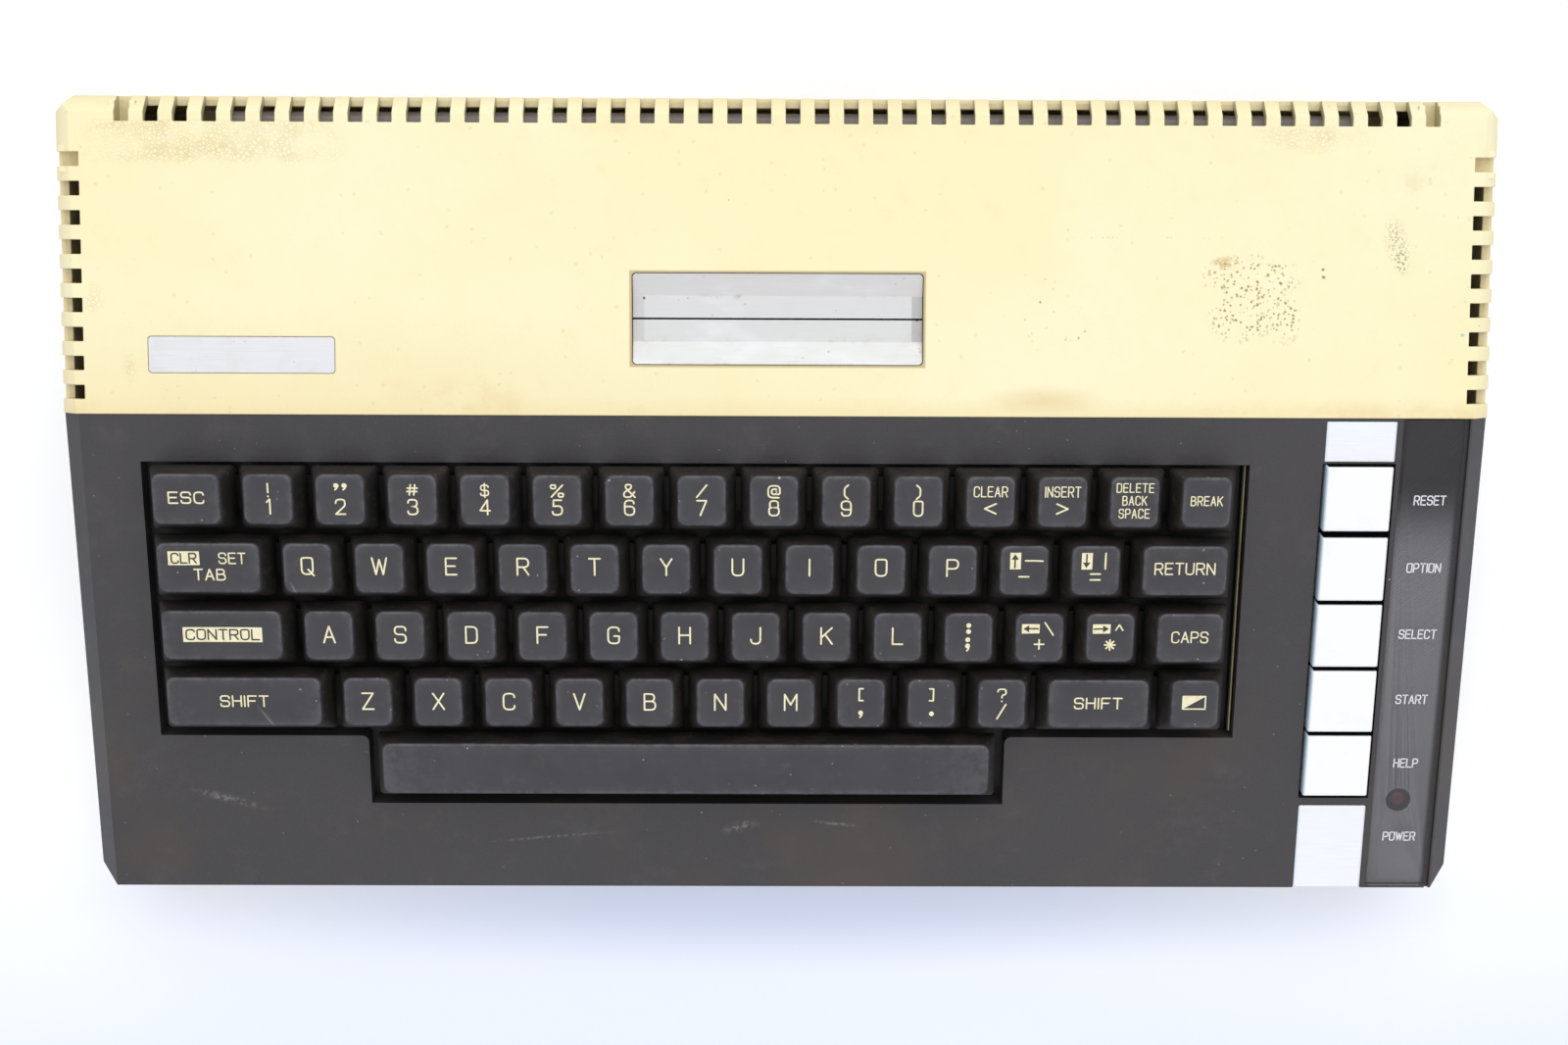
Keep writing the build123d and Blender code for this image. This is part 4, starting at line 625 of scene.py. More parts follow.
def makeGuideSteel():
    # guide frame: black-lacquered steel, its folded edge left yellow-passivated, so a dull gold line
    material, shader, coords = newMaterial("lacqueredGuideSteel", {"Metallic": 0.1, "Roughness": 0.5})
    fold = zone(coords, *guideFold)
    colour = paint(
        "#0d0c0b",
        ("#2a231c", clouds(coords, 4, 0.5, 0.8), 0.5),
        ("#b3a273", fold, overSlope(coords, -6.0, -5.0)),
        ("#3d3324", fold, clouds(coords, 9, 0.45, 0.7, 4, 0.6, (1, 0.4, 1)), 0.7),
    )
    finishSurface(shader, colour)
    return material


def makeCircuitBoard():
    # glass-epoxy board under green solder mask, copper tracks in relief; parts over its face are black epoxy
    material, shader, coords = newMaterial("solderMaskedBoard", {"Roughness": 0.3, "IOR": 1.55})
    lanes = addNode(coords.id_data, "ShaderNodeTexBrick", {
        "Vector": coords, "Scale": 1000.0 / 14, "Mortar Size": 0.03, "Brick Width": 0.9, "Row Height": 0.18,
    }).outputs["Fac"]
    colour = paint(
        "#24573a", ("#3c7a4c", lanes), ("#c9a860", specks(coords, 5, 0.9, 4.2, 0.5)),
        ("#1c1c1d", zone(coords, "Z", rise=(8.2, 8.3))))
    finishSurface(shader, colour, None, [(lanes, 0.2, 0.04)])
    return material


def makeBlackPlastic():
    # glass-filled black thermoplastic: matt, with flow lines
    material, shader, coords = newMaterial("blackThermoplastic", {"Roughness": 0.5, "IOR": 1.5})
    flow = clouds(coords, 2.2, 0.4, 0.75, 4, 0.6, (0.4, 1, 1))
    colour = paint("#151516", ("#262525", flow), ("#6f6a63", specks(coords, 3.2, 0.4, 7.1, 0.3), 0.5))
    finishSurface(shader, colour, (flow, 0.42, 0.6), [(clouds(coords, 0.5, 0.3, 0.8, 2), 0.15, 0.05)])
    return material


def makeFootRubber():
    # moulded nitrile rubber: dead matt with dust pressed into it
    material, shader, coords = newMaterial("nitrileRubber", {"Roughness": 0.85, "IOR": 1.5})
    dust = clouds(coords, 1.6, 0.5, 0.8, 5, 0.7)
    finishSurface(shader, paint("#1f1e1e", ("#55514c", dust, 0.7)), None, [(dust, 0.4, 0.1)])
    return material


def makeContactBrass():
    # turned and plated brass contacts: small bright yellow metal
    material, shader, coords = newMaterial("platedBrass", {"Metallic": 1.0, "Roughness": 0.28})
    finishSurface(shader, paint("#d8b25c", ("#8c7440", clouds(coords, 1.1, 0.5, 0.8), 0.6)))
    return material


# The solids' slots first, then finishes that only the added pieces wear
finish = {
    "beige_abs": makeYellowedAbs(), "charcoal_abs": makeCharcoalAbs(), "dark_keycap": makeKeyTop(),
    "white_abs": makeWhiteAbs(), "bright_trim": makeBrightTrim(), "brushed_aluminium": makeBrushedAluminium(),
    "plate_aluminium": makePlateAluminium(), "smoked_acrylic": makeSmokedAcrylic(), "red_lamp": makeRedLamp(),
    "zinc_steel": makeZincSteel(), "circuit_board": makeCircuitBoard(), "black_plastic": makeBlackPlastic(),
    "foot_rubber": makeFootRubber(), "keySkirtShade": makeKeySkirt(), "legendInk": makeLegendInk(),
    "stripInk": makeStripInk(), "dullTin": makeDullTin(), "guideSteel": makeGuideSteel(),
    "contactBrass": makeContactBrass(),
}
print("finishes ready:", len(finish))
nodeSlot = {entry["node"]: entry["material_slot"] for entry in frame["record"]["subparts"]}
nodeFinish = {"keyboard_frame": "guideSteel"}  # a piece whose finish differs from the rest of its slot
for name, item in nodes.items():
    for slot in item.material_slots:
        slot.material = finish[nodeFinish.get(name, nodeSlot[name])]
print("CAD nodes dressed")


def newObject(name, data):
    # an object linked to the scene, at the origin
    item = bpy.data.objects.new(name, data)
    bpy.context.scene.collection.objects.link(item)
    return item


def addPiece(name, mesh, body, materials=(), replaced=()):
    # a piece that rides on a body and may stand for CAD nodes
    piece = newObject(name, mesh)
    for material in materials:
        mesh.materials.append(material)
    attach(piece, body)
    if replaced:
        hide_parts(*replaced)
    return piece


def meshFrom(shape, name):
    # a finished mesh out of a bmesh
    shape.normal_update()
    mesh = bpy.data.meshes.new(name)
    shape.to_mesh(mesh)
    shape.free()
    return mesh


def plainMesh(holder, name):
    # what the modifiers of holder make, as a mesh of its own
    bpy.context.view_layer.update()
    graph = bpy.context.evaluated_depsgraph_get()
    mesh = bpy.data.meshes.new_from_object(
        holder.evaluated_get(graph), preserve_all_data_layers=True, depsgraph=graph)
    mesh.name = name
    bpy.data.objects.remove(holder)
    return mesh


# Merge distance in metres, angles in degrees below which faces are one and above which an edge is rounded,
# and the area in square metres from which a face stays flat
rounding = {"merge": 2e-6, "sameFace": 0.6, "sharpFrom": 30, "flatFrom": 3e-6, "segments": 3}


def roundedCopy(nodeName, edge, shift=None):
    # the node's triangles merged into whole faces, moved by shift where given, its sharp edges rounded by edge mm
    source = nodes[nodeName]
    shape = bmesh.new()
    shape.from_mesh(source.data)
    bmesh.ops.remove_doubles(shape, verts=shape.verts, dist=rounding["merge"])
    if shift:
        for vertex in shape.verts:
            vertex.co = shift(vertex.co)
    bmesh.ops.dissolve_limit(
        shape, angle_limit=math.radians(rounding["sameFace"]), verts=shape.verts, edges=shape.edges)
    mesh = meshFrom(shape, nodeName + "Merged")
    mesh.materials.append(source.material_slots[0].material)
    holder = newObject(nodeName + "Holder", mesh)
    bevel = holder.modifiers.new("rounding", "BEVEL")
    bevel.width = edge * mm
    bevel.segments = rounding["segments"]
    bevel.limit_method = "ANGLE"
    bevel.angle_limit = math.radians(rounding["sharpFrom"])
    mesh = plainMesh(holder, nodeName + "Rounded")
    # large faces stay flat, and only the roundings between them are shaded smooth
    edges = {line.key: line for line in mesh.edges}
    for face in mesh.polygons:
        face.use_smooth = True
        face.material_index = 0
        if face.area > rounding["flatFrom"]:
            for key in face.edge_keys:
                edges[key].use_edge_sharp = True
    return addPiece(nodeName + "_rounded", mesh, source["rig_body"], (), [nodeName])


def wallBetween(shape, lower, upper, slotIndex=0, smooth=False):
    # faces between two closed loops of vertices, of which one may be a single point
    count = max(len(lower), len(upper))
    for k in range(count):
        ends = [loop[step % len(loop)] for loop, step in ((lower, k), (lower, k + 1), (upper, k + 1), (upper, k))]
        face = shape.faces.new(list(dict.fromkeys(ends)))
        face.smooth, face.material_index = smooth, slotIndex


# Legend strokes on a 4 by 6 grid. ~ rounds a stroke's corners, except those with !, * draws it heavy,
# and = fills its outline
glyphs = {
    "A": "0 0,2 6,4 0;0.7 2,3.3 2", "B": "0 0,0 6;~0 6,3.6 6,3.6 3.2,0 3.2;~0 3.2,4 3.2,4 0,0 0",
    "C": "~4 4.6,4 6,0 6,0 0,4 0,4 1.4", "D": "0 0,0 6;~0 6,4 6,4 0,0 0", "E": "3.8 6,0 6,0 0,3.8 0;0 3.1,3.3 3.1",
    "F": "3.8 6,0 6,0 0;0 3.1,3.2 3.1",
    "G": "~4 4.6,4 6,0 6,0 0,4 0,4 2.7!,2.2 2.7", "H": "0 0,0 6;4 0,4 6;0 3.1,4 3.1",
    "I": "0 0,0 6", "J": "~3.4 6,3.4 0,0 0,0 1.6", "K": "0 0,0 6;3.9 6,0 2.3;1.4 3.6,4 0", "L": "0 6,0 0,3.6 0",
    "M": "0 0,0 6,2.2 2,4.4 6,4.4 0", "N": "0 0,0 6,4 0,4 6", "O": "~2 6,4 6,4 0,0 0,0 6,2 6",
    "P": "0 0,0 6;~0 6,4 6,4 2.7,0 2.7", "Q": "~2 6,4 6,4 0,0 0,0 6,2 6;2.3 1.7,4.3 -0.5",
    "R": "0 0,0 6;~0 6,4 6,4 2.8,0 2.8;2.1 2.8,4 0", "S": "~4 4.6,4 6,0 6,0 3.1,4 3.1,4 0,0 0,0 1.4",
    "T": "0 6,4 6;2 6,2 0", "U": "~0 6,0 0,4 0,4 6", "V": "0 6,2 0,4 6", "W": "0 6,1.3 0,2.6 5.4,3.9 0,5.2 6",
    "X": "0 6,4 0;4 6,0 0", "Y": "0 6,2 2.9,4 6;2 2.9,2 0", "Z": "0 6,4 6,0 0,4 0",
    "0": "~1.8 6,3.6 6,3.6 0,0 0,0 6,1.8 6", "1": "0.3 4.8,1.6 6,1.6 0",
    "2": "~0.1 4.5,0.1 6,3.8 6,3.8 3.4,0 0!,3.9 0",
    "3": "~0.1 4.7,0.1 6,3.7 6,3.7 3.2,1.6 3.2;~1.6 3.2,3.9 3.2,3.9 0,0 0,0 1.3", "4": "3 0,3 6,0 1.6,4 1.6",
    "5": "~3.6 6,0.5 6!,0.3 3.5!,3.9 3.7,3.9 0,0 0,0 1.3", "6": "~3.7 4.7,3.7 6,0 6,0 0,3.9 0,3.9 3.5,0 3.5",
    "7": "0 6,3.8 6,1.3 0", "8": "~2 3.2,3.7 3.2,3.7 6,0.3 6,0.3 3.2,2 3.2;~2 3.2,4 3.2,4 0,0 0,0 3.2,2 3.2",
    "9": "~0.2 1.3,0.2 0,3.9 0,3.9 6,0 6,0 2.5,3.9 2.5", "!": "0.5 6,0.5 1.9;0.5 0.15,0.5 0",
    '"': "*1 5,1.2 4.9;1.6 4.9,1.3 3.6,0.6 2.9;*4.3 5,4.5 4.9;4.9 4.9,4.6 3.6,3.9 2.9",
    "#": "0.9 0,1.5 6;2.7 0,3.3 6;0 2,4 2;0.2 4,4.2 4",
    "$": "~3.8 4.6,3.8 5.6,0.1 5.6,0.1 3,3.9 3,3.9 0.4,0 0.4,0 1.5;2 6.5,2 -0.5",
    "%": "0.2 0,3.9 6;~0.8 6,1.6 6,1.6 4.2,0 4.2,0 6,0.8 6;~3.3 1.8,4.1 1.8,4.1 0,2.5 0,2.5 1.8,3.3 1.8",
    "&": "~4.3 0,0.7 4.4,0.7 6,2.9 6,2.9 4.3,0 2.2,0 0,2.6 0,4.2 2.6", "'": "4 6,0 0",
    "@": "~3.1 4.3,1.3 4.3,1.3 1.7,3.1 1.7!,3.1 4.3!,3.1 1.7!,4.4 1.7,4.4 6,0 6,0 0,4 0",
    "(": "~1.5 6.4,0 4.8,0 1.2,1.5 -0.4", ")": "~0 6.4,1.5 4.8,1.5 1.2,0 -0.4", "<": "3.8 5.4,0 3,3.8 0.6",
    ">": "0 5.4,3.8 3,0 0.6", "-": "0 3,3.6 3", "|": "0 -0.3,0 6.3", "=": "0 4.1,3.8 4.1;0 1.9,3.8 1.9",
    "\\": "0 6,3.8 0",
    "+": "0 3,4 3;2 5,2 1", "^": "0 3,1.7 5.8,3.4 3", "*": "2 5,2 1;0 3,4 3;0.6 4.4,3.4 1.6;0.6 1.6,3.4 4.4",
    "[": "1.6 6.4,0 6.4,0 -0.4,1.6 -0.4", "]": "0 6.4,1.6 6.4,1.6 -0.4,0 -0.4", ":": "*0 4.3,0 4.2;*0 1.9,0 1.8",
    ";": "*0 4.3,0 4.2;*0 1.9,0 1.8;0.5 1.7,0.3 0.6,-0.3 0", ",": "*0.3 2,0.3 1.9;0.8 1.8,0.6 0.7,0 0.1",
    ".": "*0.3 2,0.3 1.9",
    "?": "~0 4.7,0 6,3.7 6,3.7 3.5,1.9 3,1.9 1.8;1.9 0.15,1.9 0", "/": "0 -0.3,3.6 6.2",
    "u": "1 0,1 4;=1 6,-0.3 3.6,2.3 3.6", "d": "1 2,1 6;=1 0,2.3 2.4,-0.3 2.4",
    "l": "2 3,6 3;=0 3,2.4 0.4,2.4 5.6", "r": "0 3,4 3;=6 3,3.6 5.6,3.6 0.4",
}
# Dots against strokes, the turn above which a corner is mitred, how round the others are, how much of a stroke
# an arc may take, and how finely strokes and filled areas are cut in mm
pen = {"heavy": 3.0, "bend": math.radians(50), "roundness": 1.75, "share": 0.98, "cut": 1.2, "cell": 1.5}


def roundCorners(points, sharp, radius, steps=4):
    # replaces the corners of a polyline by arcs; closed when its ends meet
    closed = (points[0] - points[-1]).length < 1e-6
    result = [points[0]]
    for i in range(1, len(points) - 1):
        before, corner, after = points[i - 1], points[i], points[i + 1]
        if i in sharp:
            result.append(corner)
            continue
        a, b = before - corner, after - corner
        turn = a.angle(b)
        limitA = a.length * (1.0 if i == 1 and not closed else 0.5)
        limitB = b.length * (1.0 if i == len(points) - 2 and not closed else 0.5)
        reach = min(radius / max(math.tan(turn / 2), 0.2), limitA * pen["share"], limitB * pen["share"])
        start, end = corner + a.normalized() * reach, corner + b.normalized() * reach
        for k in range(steps + 1):
            t = k / steps
            result.append(start.lerp(corner, t).lerp(corner.lerp(end, t), t))
    result.append(points[-1])
    return result


def layText(text, centre, letterWidth, height, gap):
    # the strokes of a word and how each is drawn, centred; positions in mm on the face that carries it
    strokes, at = [], 0.0
    for letter in text:
        if letter == " ":
            at += letterWidth
            continue
        reach = 0.0
        for stroke in glyphs[letter].split(";"):
            how = stroke[0] if stroke[0] in "~*=" else ""
            parts = stroke[len(how):].split(",")
            sharp = {i for i, part in enumerate(parts) if part.endswith("!")}
            points = [Vector([float(n) for n in part.rstrip("!").split()]) for part in parts]
            points = [Vector((p.x * letterWidth / 4, p.y * height / 6)) for p in points]
            reach = max([reach] + [p.x for p in points])
            if how == "~":
                points = roundCorners(points, sharp, pen["roundness"] * letterWidth / 4)
            strokes.append(([Vector((p.x + at, p.y)) for p in points], how))
        at += reach + gap
    shift = Vector((centre[0] - (at - gap) / 2, centre[1] - height / 2))
    return [([p + shift for p in points], how) for points, how in strokes]


def ribbon(shape, points, half, place, slotIndex):
    # flat band of half-width half along a stroke, with round ends; place turns (x, y) into a point in metres
    runs, run = [], [points[0]]
    for i in range(1, len(points)):
        run.append(points[i])
        if i < len(points) - 1 and (points[i] - points[i - 1]).angle(points[i + 1] - points[i]) > pen["bend"]:
            runs.append(run)
            run = [points[i]]
    runs.append(run)
    for run in runs:
        fine = [run[0]]
        for a, b in zip(run, run[1:]):
            cuts = max(1, math.ceil((b - a).length / pen["cut"]))
            fine += [a.lerp(b, k / cuts) for k in range(1, cuts + 1)]
        left, right = [], []
        for i, p in enumerate(fine):
            ahead = fine[min(i + 1, len(fine) - 1)] - fine[max(i - 1, 0)]
            side = Vector((-ahead.y, ahead.x)).normalized() * half
            left.append(shape.verts.new(place(p.x + side.x, p.y + side.y)))
            right.append(shape.verts.new(place(p.x - side.x, p.y - side.y)))
        for i in range(len(fine) - 1):
            shape.faces.new((right[i], right[i + 1], left[i + 1], left[i])).material_index = slotIndex
        for end, first, second in ((0, left[0], right[0]), (-1, right[-1], left[-1])):
            along = fine[end] - fine[1 if end == 0 else -2]
            start = math.atan2(along.y, along.x) - math.pi / 2
            turns = [start + k * math.pi / 5 for k in range(1, 5)]
            arc = [fine[end] + Vector((math.cos(a), math.sin(a))) * half for a in turns]
            arc = [shape.verts.new(place(p.x, p.y)) for p in arc]
            shape.faces.new([first] + arc + [second]).material_index = slotIndex


def drawText(shape, strokes, half, place, slotIndex):
    # every stroke of a word as a ribbon, a dot or a filled outline
    for points, how in strokes:
        if how == "=":
            face = shape.faces.new([shape.verts.new(place(p.x, p.y)) for p in points])
            face.material_index = slotIndex
        else:
            ribbon(shape, points, half * (pen["heavy"] if how == "*" else 1), place, slotIndex)


def patchQuad(shape, corners, place, slotIndex):
    # filled area under a boxed legend, split so that it follows a hollow face
    (x0, y0), (x1, y1) = corners
    columns = max(2, round((x1 - x0) / pen["cell"]))
    rows = max(2, round((y1 - y0) / pen["cell"]))
    across = [x0 + (x1 - x0) * i / columns for i in range(columns + 1)]
    up = [y0 + (y1 - y0) * j / rows for j in range(rows + 1)]
    grid = [[shape.verts.new(place(x, y)) for x in across] for y in up]
    for lower, upper in zip(grid, grid[1:]):
        for i in range(columns):
            face = shape.faces.new((lower[i], lower[i + 1], upper[i + 1], upper[i]))
            face.material_index = slotIndex


# Key caps: sizes in mm as in the solids; the hollow in a top follows a squarish ring
cap = {
    "pitch": 19.05, "left": -167.5, "rowStart": 22.7, "gap": 1.2, "base": 0.6, "height": 9.4, "sideLean": 2.55,
    "frontLean": 4.15, "rearLean": -0.1, "wall": 1.2, "roof": 1.6, "lip": 0.15, "topRadius": 2.3,
    "baseRadius": 1.1, "edge": 0.55, "dish": 0.38, "square": 7, "depth": 17.85, "barDepth": 18.6,
    "barCrown": -0.25, "barShift": 0.375, "stroke": 0.235, "boxStroke": 0.9, "frameStroke": 0.8,
    "legendLift": 0.03, "legendRise": (0.4, 0.5, 0.2, 0.1), "thin": ((0.42, 5), (0.75, 16)),
    "wordGap": (0.4, 0.58), "boxGap": 0.36,
}
# Rings of a cap and how worn each is, which also sets its painted highlight: by the share of the way up, the degrees
# round the rim, and the share of the way from the middle of the top
capWearAndHighlight = {
    "side": ((0.35, 0), (0.7, 0), (0.9, 0.15)), "rim": ((10, 0.5), (40, 1.0), (65, 1.0), (90, 0.7)),
    "top": ((0.94, 0.35), (0.8, 0.1), (0.6, 0), (0.4, 0), (0.2, 0)),
}


def outline(halfX, halfY, radius, shiftY, steps=6):
    # rounded rectangle, counter-clockwise
    points = []
    for cx, cy, start in ((1, 1, 0), (-1, 1, 90), (-1, -1, 180), (1, -1, 270)):
        for k in range(steps + 1):
            a = math.radians(start + 90 * k / steps)
            x = cx * (halfX - radius) + radius * math.cos(a)
            points.append((x, cy * (halfY - radius) + radius * math.sin(a) + shiftY))
    return points


def makeCap(shape, units, x, s, depth, dish, legends=(), rise=0.0):
    # one cap at x and s on the slope; its rings run from inside the skirt round its foot to the middle of the top
    halfX, halfY = (units * cap["pitch"] - cap["gap"]) / 2, depth / 2
    topX, topY = halfX - cap["sideLean"], halfY - (cap["frontLean"] + cap["rearLean"]) / 2
    shift, full, edge = (cap["frontLean"] - cap["rearLean"]) / 2, cap["height"], cap["edge"]
    wall, lip, baseRadius = cap["wall"], cap["lip"], cap["baseRadius"]
    # points, height, wear and slot of each ring
    rings = [
        (outline(topX - wall, topY - wall, 1.0, shift), full - cap["roof"], 0, 1),
        (outline(halfX - wall, halfY - wall, 0.5, 0), 0.05, 0, 1),
        (outline(halfX - lip, halfY - lip, baseRadius, 0), 0.0, 0, 1),
        (outline(halfX, halfY, baseRadius, 0), 0.2, 0.1, 1),
    ]
    for share, wear in capWearAndHighlight["side"]:
        radius = baseRadius + (cap["topRadius"] - baseRadius) * share
        sizes = halfX + (topX - halfX) * share, halfY + (topY - halfY) * share
        rings.append((outline(*sizes, radius, shift * share), full * share, wear, 1))
    for turn, wear in capWearAndHighlight["rim"]:
        draw = edge * (1 - math.cos(math.radians(turn)))
        rim = outline(topX - draw, topY - draw, cap["topRadius"] - draw * 0.4, shift)
        rings.append((rim, full - edge + edge * math.sin(math.radians(turn)), wear, 0))
    for share, wear in capWearAndHighlight["top"]:
        points = [(px * share, (py - shift) * share + shift) for px, py in rim]
        rings.append((points, full - dish * (1 - share * share), wear, 0))
    wearLayer = shape.verts.layers.float.get("wear") or shape.verts.layers.float.new("wear")
    loops = []
    for points, height, wear, _ in rings:
        loops.append([shape.verts.new(onSlope(x + px, s - py, cap["base"] + height)) for px, py in points])
        for vertex in loops[-1]:
            vertex[wearLayer] = wear
    for lower, upper, ring in zip(loops, loops[1:], rings[1:]):
        wallBetween(shape, lower, upper, ring[3], True)
    shape.faces.new(loops[0][::-1]).material_index = 1
    shape.faces.new(loops[-1]).smooth = True

    def place(px, py, lift=cap["legendLift"]):
        out = (abs(px) / (topX - edge)) ** cap["square"] + (abs(py - shift) / (topY - edge)) ** cap["square"]
        share = min(1.0, out ** (1 / cap["square"]))
        return onSlope(x + px, s - py, cap["base"] + full - dish * (1 - share * share) + lift)

    for kind, word, lx, ly, *sizes in legends:
        middle = (lx, ly + rise + shift)
        if kind == "word":
            height, width = sizes
            # small type is drawn thinner and spaced wider
            thin = [least + size / full for (least, full), size in zip(cap["thin"], sizes[::-1])]
            gap = max(width * cap["wordGap"][0], cap["wordGap"][1])
            strokes = layText(word, middle, width, height, gap)
            drawText(shape, strokes, cap["stroke"] * min(1.0, *thin), place, 2)
            continue
        x0, x1 = lx - sizes[0] / 2, lx + sizes[0] / 2
        y0, y1 = middle[1] - sizes[1] / 2, middle[1] + sizes[1] / 2
        if kind == "box":
            height, width = sizes[2:]
            patchQuad(shape, ((x0, y0), (x1, y1)), place, 2)
            strokes = layText(word, middle, width, height, width * cap["boxGap"])
            half = cap["stroke"] * cap["boxStroke"]
            drawText(shape, strokes, half, lambda px, py: place(px, py, 2 * cap["legendLift"]), 0)
        elif kind == "half":
            around = [Vector(p) for p in ((x0, y0), (x1, y0), (x1, y1), (x0, y1), (x0, y0))]
            ribbon(shape, around, cap["stroke"] * cap["frameStroke"], place, 2)
            corners = [shape.verts.new(place(*p)) for p in ((x0, y0), (x1, y1), (x0, y1))]
            shape.faces.new(corners).material_index = 2


def shifted(sign, main, height=3.4, width=2.6, at=2.2):
    # a sign over a digit
    return [("word", sign, 0, at, height, width), ("word", main, 0, -2.35, 4.0, 2.6)]


# Each cap: row, middle in key units, width in units, legends as (kind, text, x, y, sizes in mm). A word has its
# height and letter width; a box has its own two sizes before them, and a half-filled frame only these
digits = (
    ("!", "1", 3.6), ('"', "2", 3.4, 2.6, 2.4), ("#", "3", 2.8, 2.6, 2.4), ("$", "4", 3.3, 2.1, 2.3),
    ("%", "5", 3.3, 3.2), ("&", "6", 3.5, 2.7, 2.3), ("'", "7", 3.4, 2.6, 2.3), ("@", "8", 3.3, 2.8),
    ("(", "9"), (")", "0"),
)
capGroups = {
    "number_keys": [(0, 1.75 + i, 1, shifted(*legend)) for i, legend in enumerate(digits)],
    "symbol_keys": [
        (0, 11.75, 1, [("word", "CLEAR", 0, 2.4, 2.75, 1.32), ("word", "<", 0, -2.3, 3.4, 3.1)]),
        (0, 12.75, 1, [("word", "INSERT", 0, 2.4, 2.75, 1.28), ("word", ">", 0, -2.3, 3.4, 3.1)]),
        (1, 12.25, 1, [("box", "u", -2.35, 2.15, 2.9, 4.7, 3.8, 3.1),
                       ("word", "-", 2.6, 2.2, 3, 5.1), ("word", "-", 0, -2.3, 3, 2.9)]),
        (1, 13.25, 1, [("box", "d", -2.35, 2.15, 2.9, 4.7, 3.8, 3.1),
                       ("word", "|", 2.57, 2.2, 4.0, 3), ("word", "=", 0, -2.3, 4.45, 2.7)]),
        (2, 11.5, 1, [("word", ":", 0, 2.3, 4.4, 2.6), ("word", ";", 0, -1.8, 4.4, 2.6)]),
        (2, 12.5, 1, [("box", "l", -2.39, 2.35, 4.78, 2.7, 2.3, 2.67),
                      ("word", "\\", 2.53, 2.35, 3.5, 2.4), ("word", "+", 0, -2.1, 3.9, 2.5)]),
        (2, 13.5, 1, [("box", "r", -2.4, 2.35, 4.78, 2.7, 2.3, 2.67),
                      ("word", "^", 2.35, 2.0, 3.3, 2.2), ("word", "*", 0, -2.24, 4.2, 2.8)]),
        (3, 10, 1, [("word", "[", 0, 2.4, 3.1, 2.6), ("word", ",", 0, -2.2, 4.0, 2.6)]),
        (3, 11, 1, [("word", "]", 0, 2.4, 3.1, 2.6), ("word", ".", 0, -2.4, 4.0, 2.6)]),
        (3, 12, 1, [("word", "?", 0, 2.3, 3.6, 2.4), ("word", "/", 0, -2.4, 3.8, 2.6)]),
    ],
    "function_keys": [
        (0, 0.625, 1.25, [("word", "ESC", 0, 0, 3.0, 2.45)]),
        (0, 13.75, 1, [("word", "DELETE", 0, 3.6, 2.4, 1.18), ("word", "BACK", 0, 0.05, 2.4, 1.14),
                       ("word", "SPACE", 0, -3.5, 2.4, 1.14)]),
        (0, 14.75, 1, [("word", "BREAK", 0, 0, 2.45, 1.2)]),
        (1, 0.875, 1.75, [("box", "CLR", -6.5, 2.2, 8.3, 3.9, 2.7, 1.8),
                          ("word", "SET", 6.3, 2.2, 2.9, 1.85), ("word", "TAB", 0.1, -2.4, 2.9, 2.15)]),
        (2, 1, 2, [("box", "CONTROL", 0.1, 0, 21.2, 4.2, 2.8, 2.15)]),
        (2, 14.625, 1.25, [("word", "CAPS", 0, 0, 3.0, 1.85)]),
        (3, 14.75, 1, [("half", "", -0.2, 0.3, 6.1, 3.7)]),
    ],
    "return_key": [(1, 14.5, 1.5, [("word", "RETURN", 0, 0.05, 3.1, 2.0)])],
    "left_shift_key": [(3, 1.25, 2.5, [("word", "SHIFT", 0, 0, 3.0, 2.3)])],
    "right_shift_key": [(3, 13.375, 1.75, [("word", "SHIFT", 0, 0, 3.0, 2.3)])],
    "space_bar": [(4, 7.507, 9, [])],
}
for row, start, letters in ((1, 2.25, "qwertyuiop"), (2, 2.5, "asdfghjkl"), (3, 3.0, "zxcvbnm")):
    for i, letter in enumerate(letters):
        capGroups[letter + "_key"] = [(row, start + i, 1, [("word", letter.upper(), 0, 0.1, 4.6, 2.95)])]

capFinishes = [finish["dark_keycap"], finish["keySkirtShade"], finish["legendInk"]]
for group, caps in capGroups.items():
    shape = bmesh.new()
    for row, middle, units, legends in caps:
        x, s = cap["left"] + middle * cap["pitch"], cap["rowStart"] + row * cap["pitch"]
        if row == 4:
            makeCap(shape, units, x, s + cap["barShift"], cap["barDepth"], cap["barCrown"], legends)
        else:
            makeCap(shape, units, x, s, cap["depth"], cap["dish"], legends, cap["legendRise"][row])
    addPiece(group + "_cap", meshFrom(shape, group + "Caps"), group, capFinishes, [group])
print("caps made:", sum(len(caps) for caps in capGroups.values()))

# Housings and small parts keep the solids' shape, with their edges rounded by so many mm
edgeRadii = {
    "rear_cover": 0.3, "front_bezel": 0.3, "bottom_case": 0.3, "nameplate": 0.12, "cartridge_door_rear": 0.22,
    "cartridge_door_front": 0.22, "console_trims": 0.2, "legend_strip": 0.18, "reset_key": 0.35, "option_key": 0.35,
    "select_key": 0.35, "start_key": 0.35, "help_key": 0.35, "power_rocker": 0.3, "channel_slider": 0.25,
    "bus_cover": 0.25, "rubber_feet": 0.4, "controller_ports": 0.12, "rear_sockets": 0.15, "keyboard_frame": 0.12,
}
# The leaves all but touch the rim of their opening; their hinge eyes, below lowest, stay where they are
door = {"slotY": 51.2, "halfX": 37.0, "halfY": 11.0, "lowest": 55, "spread": 0.1}


